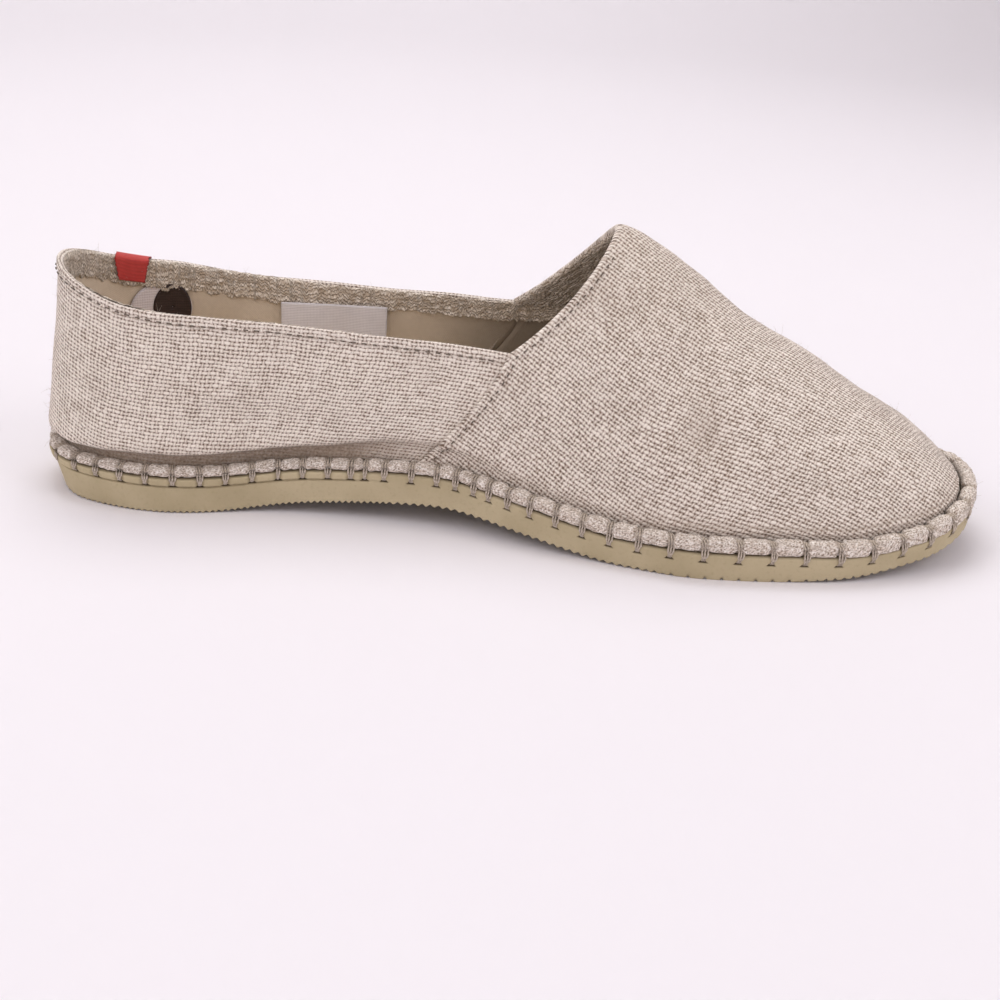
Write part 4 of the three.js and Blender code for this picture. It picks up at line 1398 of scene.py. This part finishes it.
def build_vamp():
    v = spread_columns(221)
    s = (np.linspace(0, 1, 190) ** 1.25)[:, None]
    w, t = vamp_ways(s, v)
    side = np.clip(v / OVER_TOP, -1, 1)
    face = last_point(outside_last, w, t)
    out = faces_out(face)
    backward, from_edge = across_edge(face)
    on_seam = soft_step(np.abs(v), THROAT_SHARE - 0.1, THROAT_SHARE + 0.06)
    lap = (1 - soft_step(from_edge, 0, LAP_FADE)) * on_seam
    hem = HEM_RISE * soft_step(HEM_BAND + 0.5 - from_edge, 0, 1.2) * (0.3 + 0.7 * on_seam)
    free = soft_step(from_edge, 0, 9)
    peak = last_point(outside_last, outside_last.way_at(PEAK_AT * LENGTH), 1.0)
    proud = PEAK_RISE * np.exp(-np.sum((face - peak) ** 2, -1) / 15**2)
    grow = slack(face, side) * (0.2 + 0.8 * free) + LAP_RISE * lap + hem + proud + gathered(face)[0]
    outer = face + out * grow[..., None]
    thick = WALL + (0.8 - WALL) * on_seam
    fade = soft_step(from_edge, 2.5, 5)
    depth = (thick - LAP_RISE * lap) * (1 - fade) + CLOTH * fade
    inner = face + out * np.minimum(-depth, grow - 0.35)[..., None]
    fold = fold_rows(outer[0], inner[0], backward, swell=1.1)
    grid = np.concatenate([outer[::-1], fold, inner])
    flat = vamp_cloth(*vamp_turns(s, v))
    edge_walk = np.cumsum(np.linalg.norm(np.diff(face[0], axis=0, prepend=face[0][:1]), axis=-1))
    cloth = np.concatenate([flat[::-1], np.repeat(flat[:1], len(fold), 0), flat])
    cloth[len(s) : len(s) + len(fold), :, 1] -= np.linspace(0.2, 1.6, len(fold))[:, None] * MM
    # Painted shade: a broken line in the groove of the hem, and the hidden inner face.
    dashed = soft_step(np.sin(2 * np.pi * edge_walk / 3.1 + 2 * cloth_ripple(face[0])), 0, 0.7)
    shadow = 0.45 * soft_bump(from_edge, HEM_BAND + 0.3, 0.8) * dashed * (0.3 + 0.7 * on_seam)
    # Painted shade in the big crease of the inner side.
    ahead = (face[..., 0] - CREASE_SHADE_AT[0]) / CREASE_SHADE_SIZE[0]
    above = (face[..., 2] - CREASE_SHADE_AT[1]) / CREASE_SHADE_SIZE[1]
    crease_shade = CREASE_SHADE * np.exp(-(ahead**2) - above**2) * (1 - side) / 2
    # The cloth is darker up towards the throat.
    throat_darkening = THROAT_DARKENING * soft_step(face[..., 2], 48, 78) * (1 - soft_step(face[..., 0], 205, 235))
    grime = np.clip(0.5 * grime_low(face) + shadow + crease_shade + throat_darkening + gathered(face)[1], 0, 1)
    grime = np.concatenate([grime[::-1], 0 * fold[..., 0], 0 * inner[..., 0] + 0.5])
    make_piece(
        "vamp_cloth", grid, rolled_quads(*grid.shape[:2])[:, ::-1], "upper", vamp_linen,
        ("upper",), cloth=cloth, grime=grime,
    )


build_vamp()

# %% [markdown]
# ## Seam stitches
# Short stitches run along the hems: below the topline, beside the throat and down the side seam.
# Their thread is coloured dark, as painted shade for the sunk holes they lie in. Each is a little flattened
# tube pressed into the cloth, laid along a line at a fixed distance from the edge.

# %% Seam stitches
def spaced(line, pitch, length):
    """Short pieces of a polyline: one every pitch, each so long, in mm."""
    random = np.random.default_rng(2)
    walk = np.concatenate([[0], np.cumsum(np.linalg.norm(np.diff(line, axis=0), axis=1))])
    starts = np.arange(pitch / 2, walk[-1] - length, pitch)
    starts = starts + random.normal(0, 0.12, len(starts))
    reach = length * random.uniform(0.8, 1.1, len(starts))
    at = starts[:, None] + reach[:, None] * np.linspace(0, 1, 5)[None]
    return np.stack([np.interp(at, walk, line[:, k]) for k in range(3)], -1)


def topline(drop, lift):
    """A line a given height below the quarter's free edge, lifted off the cloth."""
    s = np.linspace(-0.985, 0.985, 900)
    w = quarter_ways(s, np.ones_like(s))
    t = t_below_rim(outside_last, w, np.full_like(w, drop))
    return last_point(Last(-lift), w, t)


def vamp_edge_line(distance, lift):
    """The same beside the vamp's back edge."""
    v = np.linspace(-0.98, 0.98, 900)[None, :]
    s = np.linspace(0, 0.2, 40)[:, None]
    w, t = vamp_ways(s, v)
    face = last_point(outside_last, w, t)
    out = faces_out(face)
    walk = np.cumsum(np.linalg.norm(np.diff(face, axis=0, prepend=face[:1]), axis=-1), 0)
    on_seam = soft_step(np.abs(v[0]), THROAT_SHARE - 0.1, THROAT_SHARE + 0.06)
    rise = lift + LAP_RISE * on_seam * (1 - soft_step(distance, 0, LAP_FADE))
    found = np.empty((v.size, 3))
    for k in range(v.size):
        place = [np.interp(distance, walk[:, k], face[:, k, axis]) for axis in range(3)]
        found[k] = place + out[2, k] * rise[k]
    return found


def build_seam_stitches():
    dashes = [spaced(topline(HEM_BAND, 0.6), 3.3, 1.5), spaced(vamp_edge_line(HEM_BAND, 0.5), 3.1, 1.4)]
    points, quads, cloth = tubes(np.concatenate(dashes), 0.27, flat=0.8)
    make_piece("seam_stitches", points, quads, "upper", shaded_seam_thread, cloth=cloth)


build_seam_stitches()

# %% [markdown]
# ## Inside the shoe
# A smooth cotton lining covers the inside, right up into the toe. Round the collar a herringbone tape
# hides the turned edge, and its own lower edge is cut raw, so it frays. A blank satin label is sewn to
# the outer wall below the tape, and an insole lies on the rubber.

# %% Lining and tape
TAPE_TOP = 0.5
TAPE_DROP = {"at": (0, 0.1, 0.22, 0.36, 0.42, 0.492, 0.56), "drop": (7.0, 9.0, 8.2, 7.2, 6.8, 6.5, 6.0)}
TAPE_REACH = 168  # the collar tape runs on under the vamp as far as this, mm from the heel
THROAT_TAPE = (0.6, 9.5)  # its two edges, from the throat's edge
LINING_LAP = 5  # how far the lining of the quarter runs on inside the vamp


def build_lining():
    columns = 240
    s = np.linspace(-1, 1, columns)[None, :]
    t = np.linspace(0, 0.965, 30)[:, None]
    near, far = Last(WALL - 0.55), Last(WALL - 0.05)
    w = s * outside_last.way_at(seam_x(t) + LINING_LAP)
    wavy = Wobble(17, 22)
    inner = last_point(far, w, t)
    inner -= faces_out(inner) * (0.1 * (1 + wavy(inner)))[..., None]
    outer = last_point(near, w, t)
    grid = np.concatenate([outer, inner[::-1]])
    cloth = cloth_lengths(grid, 15)
    # Painted shade on the shown face: darker low down and towards the toe.
    deep = 0.25 * np.exp(-(inner[..., 2] - 16) / 8) + 0.65 * soft_step(inner[..., 0], 105, 150)
    grime = np.concatenate([0 * outer[..., 0], deep[::-1]])
    make_piece(
        "quarter_lining", grid, rolled_quads(*grid.shape[:2]), "upper", cotton_lining,
        cloth=cloth, grime=grime,
    )
    v = np.linspace(-1, 1, 121)[None, :]
    s = np.linspace(0.02, 0.985, 90)[:, None]
    w, t = vamp_ways(s, v)
    inner = last_point(far, w, t)
    outer = last_point(near, w, t)
    side = np.clip(v / OVER_TOP, -1, 1)
    sunk = np.maximum(crease_depth(inner, side) + 0.35, 0) * soft_step(s, 0.1, 0.25)
    inner -= faces_out(inner) * sunk[..., None]
    outer -= faces_out(outer) * sunk[..., None]
    grid = np.concatenate([outer[::-1], inner])
    cloth = cloth_lengths(grid.transpose(1, 0, 2), 60).transpose(1, 0, 2)
    # The lining inside the toe is painted darker all over, as shade.
    make_piece(
        "vamp_lining", grid, rolled_quads(*grid.shape[:2])[:, ::-1], "upper", cotton_lining,
        cloth=cloth, grime=np.full(grid[..., 0].size, 0.7),
    )


RIB_HEIGHT = 0.15
RIB_PITCH = 2.6


def looped(grid, out):
    """Raise a band of cloth in soft ribs along it, with some unevenness."""
    uneven = Wobble(31, 3.4)
    flat = cloth_lengths(grid, 3) / MM
    loops = np.sin(2 * np.pi * (flat[..., 1] / RIB_PITCH + 0.3 * uneven(grid)))
    return grid + out * (RIB_HEIGHT * (loops + 0.8 * uneven(grid * 1.3)))[..., None]


def drawn_in(behind, front):
    """Rows added behind the turned edge of a tape, drawn from its hidden face towards the shown one."""
    behind = np.concatenate([np.repeat(behind[:1], 4, 0), behind])
    behind[:4] += (front[:4] - behind[:4]) * np.array([0.75, 0.6, 0.4, 0.2])[:, None, None]
    return behind


def build_collar_tape():
    columns = 900
    far = outside_last.way_at(TAPE_REACH)
    w = np.linspace(-far, far, columns)[None, :]
    last_in, last_out = Last(WALL + 0.6), Last(WALL + 0.05)
    x = last_in.edge(w)[..., 0]
    random = np.random.default_rng(9)
    rough = random.normal(0, 1, columns + 6)
    fray = np.convolve(rough, np.ones(7) / 7, "valid") * 0.9 + 0.2 * rough[:columns]
    reach = smooth_curve(TAPE_DROP["at"], TAPE_DROP["drop"])(x / LENGTH) + fray[None, :]
    rim = rim_height(x)
    under_vamp = rim - rim_height(np.minimum(x, SEAM_TOP))
    share = np.linspace(0, 1, 22)[:, None]
    drop = under_vamp + TAPE_TOP + (reach - TAPE_TOP) * share
    front = last_point(last_in, w, t_below_rim(last_in, w, drop))
    over = []
    for turn in np.linspace(0, np.pi / 2, 5)[:-1]:
        between = Last(WALL * 0.5 + (WALL * 0.5 + 0.6) * math.sin(turn))
        row = last_point(between, w, t_below_rim(between, w, under_vamp + TAPE_TOP))
        row[..., 2] += (TAPE_TOP + 0.15) * math.cos(turn)
        over.append(row[0])
    front = np.concatenate([np.stack(over), front])
    share = np.concatenate([np.zeros((4, 1)), share])
    inward = -faces_out(front)
    curl = 0.35 * share**3 * (1 + Wobble(4, 14)(front))
    front = looped(front, inward) + inward * curl[..., None]
    behind = drawn_in(last_point(last_out, w, t_below_rim(last_out, w, drop)), front)
    grid = np.concatenate([behind, front[::-1]])
    make_piece(
        "collar_tape", grid, rolled_quads(*grid.shape[:2]), "upper", herringbone_tape,
        cloth=cloth_lengths(grid, 5), grime=np.full(grid[..., 0].size, 0.1),
    )


def vamp_back(v):
    """The back part of the vamp's outer face, without its creases."""
    s = np.linspace(0, 0.4, 160)[:, None]
    return last_point(outside_last, *vamp_ways(s, v))


def vamp_by_distance(v, distance):
    """Points of the vamp at given distances from its back edge, rows x columns."""
    face = vamp_back(v)
    _, walk = across_edge(face)
    found = np.empty((*distance.shape, 3))
    for k in range(v.size):
        for axis in range(3):
            found[:, k, axis] = np.interp(distance[:, k], walk[:, k], face[:, k, axis])
    return found


def build_throat_tape():
    columns = 360
    v = np.linspace(-THROAT_SHARE, THROAT_SHARE, columns)[None, :]
    random = np.random.default_rng(19)
    fray = np.convolve(random.normal(0, 1, columns + 6), np.ones(7) / 7, "valid")
    share = np.linspace(0, 1, 22)[:, None]
    distance = THROAT_TAPE[0] + (THROAT_TAPE[1] + fray[None, :] - THROAT_TAPE[0]) * share
    face = vamp_by_distance(v, distance)
    out = faces_out(face)
    front = face - out * (WALL + 0.6)
    behind = face - out * (WALL + 0.05)
    front = looped(front, -faces_out(front))
    backward, _ = across_edge(vamp_back(v))
    over = []
    for turn in np.linspace(0, np.pi / 2, 5)[:-1]:
        deep = WALL * 0.6 + (WALL * 0.4 + 0.6) * math.sin(turn)
        row = vamp_by_distance(v, np.full((1, columns), 0.3))[0] - out[0] * deep
        over.append(row + backward * (THROAT_TAPE[0] + 0.7) * math.cos(turn))
    front = np.concatenate([np.stack(over), front])
    grid = np.concatenate([drawn_in(behind, front)[::-1], front])
    # Painted shade: this tape, deep in the throat, is darker than the collar tape.
    make_piece(
        "throat_tape", grid, rolled_quads(*grid.shape[:2])[:, ::-1], "upper", herringbone_tape,
        cloth=cloth_lengths(grid, 5), grime=np.full(grid[..., 0].size, 0.35),
    )


build_lining()
build_collar_tape()
build_throat_tape()

# %% [markdown]
# ## Label, ribbon and insole
# These small pieces are thin closed sheets laid on the walls. The blank label puffs a little between its
# sewn ends. The red ribbon is folded over the collar, with one end on each side, and its cut ends are
# slightly ragged. The round sticker is bare but for a plain oval. The insole is a thin pad on the rubber.

# %% Label, ribbon and insole
LABEL_FROM, LABEL_TO = 70, 105.5
LABEL_LOW, LABEL_HIGH = 41.8, 53.4
LABEL_STANDS = 1.2  # off the wall
TAB_FROM, TAB_TO = 0.0595, 0.0915
TAB_DROP = 9.5
TAB_INSIDE = 7.4
TAB_FLARE = 1.1  # how much narrower each side is at its lower end
STICKER, STICKER_RADIUS = (31, 49), 9
INSOLE = 3
INSOLE_TOE_CLEARANCE = 5


def on_outer_wall(last, x, z):
    """The point of the outer side of a last at a given x and height."""
    w = last.way_at(x)
    rim = rim_height(x)
    return last_point(last, w, t_below_rim(last, w, rim - z))


def build_label():
    x = np.linspace(LABEL_FROM, LABEL_TO, 48)[None, :]
    z = np.linspace(LABEL_LOW, LABEL_HIGH, 16)[:, None] + 0.3 * np.sin((x - LABEL_FROM) / 11)
    x = np.broadcast_to(x, z.shape)
    puff = 0.35 * np.sin((x - LABEL_FROM) / (LABEL_TO - LABEL_FROM) * np.pi * 3) * ((LABEL_HIGH - z) / 11)
    near, far = Last(WALL + 0.75), Last(WALL + 0.5)
    front, behind = on_outer_wall(near, x, z), on_outer_wall(far, x, z)
    front[..., 1] -= LABEL_STANDS + puff
    behind[..., 1] -= LABEL_STANDS + puff
    grid = np.concatenate([behind, front[::-1]])
    make_piece(
        "blank_label", grid, rolled_quads(*grid.shape[:2]), "upper", satin_label,
        cloth=cloth_lengths(grid, 6),
    )


def build_sticker():
    """A bare round sticker on the back of the inside, with a plain dark oval on it."""
    for name, depth, centre, half, material in (
        ("round_sticker", 0.75, STICKER, (STICKER_RADIUS, STICKER_RADIUS), sticker_paper),
        ("sticker_oval", 0.95, (STICKER[0] + 3.2, STICKER[1]), (5.6, 8.4), sticker_ink),
    ):
        turn, reach = np.linspace(0, 2 * np.pi, 49)[None, :-1], np.linspace(0, 1, 8)[:, None]
        reach = np.maximum(reach, 0.02)
        x, z = centre[0] + half[0] * reach * np.cos(turn), centre[1] + half[1] * reach * np.sin(turn)
        front = on_outer_wall(Last(WALL + depth), x, z)
        behind = on_outer_wall(Last(WALL + depth - 0.15), x, z)
        grid = np.concatenate([front, behind[::-1]])
        cloth = np.stack([grid[..., 0] * MM, grid[..., 2] * MM, 0 * grid[..., 0]], -1)
        quads = grid_quads(*grid.shape[:2], wrap_rows=True, wrap_columns=True)
        make_piece(name, grid, quads, "upper", material, cloth=cloth)


def build_tab():
    width = 40
    random = np.random.default_rng(14)
    x = np.linspace(TAB_FROM, TAB_TO, width) * LENGTH
    middle = (x[0] + x[-1]) / 2
    drop = np.linspace(1, 0.03, 16)[:, None]
    depths = ((-0.55, WALL + 1.2), (-0.95, WALL + 1.6))  # of the ribbon's two faces, outside and inside
    layers = []
    for layer in (1, 0):
        outer, inner = Last(depths[layer][0]), Last(depths[layer][1])
        narrow = middle + (x[None, :] - middle) * (1 - drop * TAB_FLARE * 2 / (x[-1] - x[0]))
        w_out, w_in = outer.way_at(narrow), inner.way_at(narrow[::-1])
        down = last_point(outer, w_out, t_below_rim(outer, w_out, TAB_DROP * drop))
        up = last_point(inner, w_in, t_below_rim(inner, w_in, TAB_INSIDE * drop[::-1]))
        over = fold_rows(down[-1], up[0], np.array([0, 0, 1.0]), steps=9, swell=0.5 + 0.1 * layer)
        layers.append(np.concatenate([down, over, up]))
    ragged = random.normal(0, 0.16, (len(layers[0]), 2))
    for layer in layers:
        layer[:, 0, 0] += ragged[:, 0]
        layer[:, -1, 0] += ragged[:, 1]
        layer[..., 2] += 0.1
    grid = np.concatenate([layers[1], layers[0][::-1]])
    make_piece(
        "side_ribbon", grid, rolled_quads(*grid.shape[:2]), "side_tab", red_ribbon,
        ("side_tab",), cloth=cloth_lengths(grid, 8),
    )


def build_insole():
    columns, steps = 360, 14
    w = rim_round.way(np.linspace(rim_round.inner_toe, rim_round.outer_toe, columns, endpoint=False))
    clear = FEATHER_INSET + WALL + 0.5
    rows = []
    for inset, rise in ((0.3, 0), (0, 0.8), (0, INSOLE - 0.9), (0.5, INSOLE - 0.2), (1.6, INSOLE)):
        flat = plan_point(w, np.full(w.shape, clear + inset))
        flat[:, 0] -= INSOLE_TOE_CLEARANCE * (flat[:, 0] / LENGTH) ** 8
        rows.append(np.column_stack([flat, rubber_top(flat[:, 0]) + SEAT_GAP + rise]))
    edge = rows[-1]
    centre = np.column_stack([edge[:, 0], 0 * edge[:, 1] + 1, edge[:, 2]])
    for share in np.linspace(0, 1, steps)[1:]:
        flat = edge * (1 - share) + centre * share
        flat[:, 2] = rubber_top(flat[:, 0]) + SEAT_GAP + INSOLE - 0.5 * share
        rows.append(flat)
    grid = np.stack(rows)
    quads = grid_quads(len(rows), columns, wrap_columns=True)
    cloth = np.stack([grid[..., 0] * MM, grid[..., 1] * MM, 0 * grid[..., 0]], -1)
    # Painted shade: the insole is darker at its edge, against the wall.
    grime = np.clip(0.35 - 0.1 * np.arange(len(rows))[:, None] + 0 * grid[..., 0], 0, 1)
    make_piece(
        "insole_cover", grid, quads, "insole", cotton_lining, ("insole",),
        cloth=cloth, grime=grime,
    )


build_label()
build_sticker()
build_tab()
build_insole()

# %% [markdown]
# ## Loose fibres
# Flax sheds short hairs, and they soften every outline of a linen shoe. Each hair here is a very thin
# tube that starts on the cloth and bends away from it. They grow from random faces of the pieces that
# are already made, a larger face being chosen more often.

# %% Loose fibres
FIBRE_RADIUS = 0.045
FIBRES = {"quarter_cloth": 900, "vamp_cloth": 1100, "collar_tape": 700, "throat_tape": 250, "cord": 900}


def build_fibres():
    random = np.random.default_rng(77)
    lines = []
    for name, count in FIBRES.items():
        faces = bpy.data.objects[name].data.polygons
        found = {}
        for what, width in (("center", 3), ("normal", 3), ("area", 1)):
            found[what] = np.empty(len(faces) * width)
            faces.foreach_get(what, found[what])
        chosen = random.choice(len(faces), count, p=found["area"] / found["area"].sum())
        root = found["center"].reshape(-1, 3)[chosen] / MM - (HEEL_X, MIDDLE_Y, 0)
        out = found["normal"].reshape(-1, 3)[chosen]
        heading = random.normal(size=(count, 3))
        heading /= np.linalg.norm(heading, axis=1, keepdims=True)
        bend = random.normal(size=(count, 3)) * 0.5
        length = random.uniform(0.8, 2.4, (count, 1))
        for step in np.linspace(0, 1, 5):
            lines.append(root + length * step * (out * 0.45 + heading * 0.7 + bend * step))
    lines = np.concatenate([np.stack(lines[k : k + 5], 1) for k in range(0, len(lines), 5)])
    points, quads, cloth = tubes(lines, FIBRE_RADIUS * np.linspace(1, 0.4, 5)[None, :], sides=3)
    make_piece("loose_fibres", points, quads, "upper", sewing_thread, cloth=cloth)


build_fibres()

# %% [markdown]
# ## Floor and light
# The shoe stands on a plain pale sheet, swept up all round like a bowl, with painted shade in its far
# right corner. The light is that of a bright tent: an even pale sky, one broad soft lamp overhead and a
# little behind, and two lower ones in front, left and right. So the shadows are short and stay close under
# the sole.

# %% Floor and light
def build_floor():
    """A round sheet, flat in the middle and swept up all round."""
    flat, bend, top, around = 900, 600, 3000, 96  # mm, and the number of sides
    angle = np.linspace(0, math.pi / 2, 24)
    profile = [(1, 0), (300, 0), (600, 0)]  # distance from the middle, and height
    profile += [(flat + bend * math.sin(a), bend * (1 - math.cos(a))) for a in angle]
    profile.append((flat + bend, top))
    turn = np.linspace(0, 2 * np.pi, around, endpoint=False)
    points = [(r * math.cos(a) * MM, r * math.sin(a) * MM, z * MM) for r, z in profile for a in turn]
    quads = grid_quads(len(profile), around, wrap_columns=True)
    faces = [tuple(map(int, quad)) for quad in quads] + [tuple(range(around))[::-1]]
    mesh = bpy.data.meshes.new("floor")
    mesh.from_pydata(points, [], faces)
    mesh.shade_smooth()
    paint = Paint("pale sheet")
    cloud = paint.noise(paint.room(), 1.5, 2)
    parts = paint.node("ShaderNodeSeparateXYZ", {0: paint.room()})
    across, away = Field(paint, parts.outputs[0]), Field(paint, parts.outputs[1])
    colour = paint.blend(colour_of("f3eff2"), colour_of("eeeaed"), cloud)
    far_right_shade = across.ramp(-0.1, 0.9) * away.ramp(0.25, 1.1)
    colour = paint.blend(colour, colour_of("bfbabd"), far_right_shade)  # painted shade: the sheet is darker in that corner
    mesh.materials.append(paint.finish(colour, 0.85, specular=0.2))
    floor = bpy.data.objects.new("floor", mesh)
    bpy.context.scene.collection.objects.link(floor)


# name, place, what it is aimed at, width in metres, watts
LAMPS = (
    ("overhead", (-0.1, 0.5, 1.2), (0, 0, 0), 1.0, 6.3),
    ("left", (-1.0, -0.65, 1.0), (0, 0, 0.04), 0.9, 4),
    ("right", (1.0, -0.5, 1.0), (0, 0, 0.04), 0.9, 3.6),
)
SKY = 0.78


def add_lamp(name, place, aim, size, power):
    lamp = bpy.data.lights.new(name, "AREA")
    lamp.shape = "DISK"
    lamp.size = size
    lamp.energy = power
    holder = bpy.data.objects.new(name, lamp)
    holder.location = place
    from_to = np.array(aim) - np.array(place)
    down = math.atan2(math.hypot(from_to[0], from_to[1]), -from_to[2])
    holder.rotation_euler = (down, 0, math.atan2(from_to[1], from_to[0]) - math.pi / 2)
    bpy.context.scene.collection.objects.link(holder)


def set_sky(strength):
    world = bpy.data.worlds.new("tent")
    world.use_nodes = True
    sky = world.node_tree.nodes["Background"]
    sky.inputs["Color"].default_value = (1, 0.985, 0.99, 1)
    sky.inputs["Strength"].default_value = strength
    bpy.context.scene.world = world


build_floor()
set_sky(SKY)
for lamp in LAMPS:
    add_lamp(*lamp)
print(len(LAMPS), "lamps")
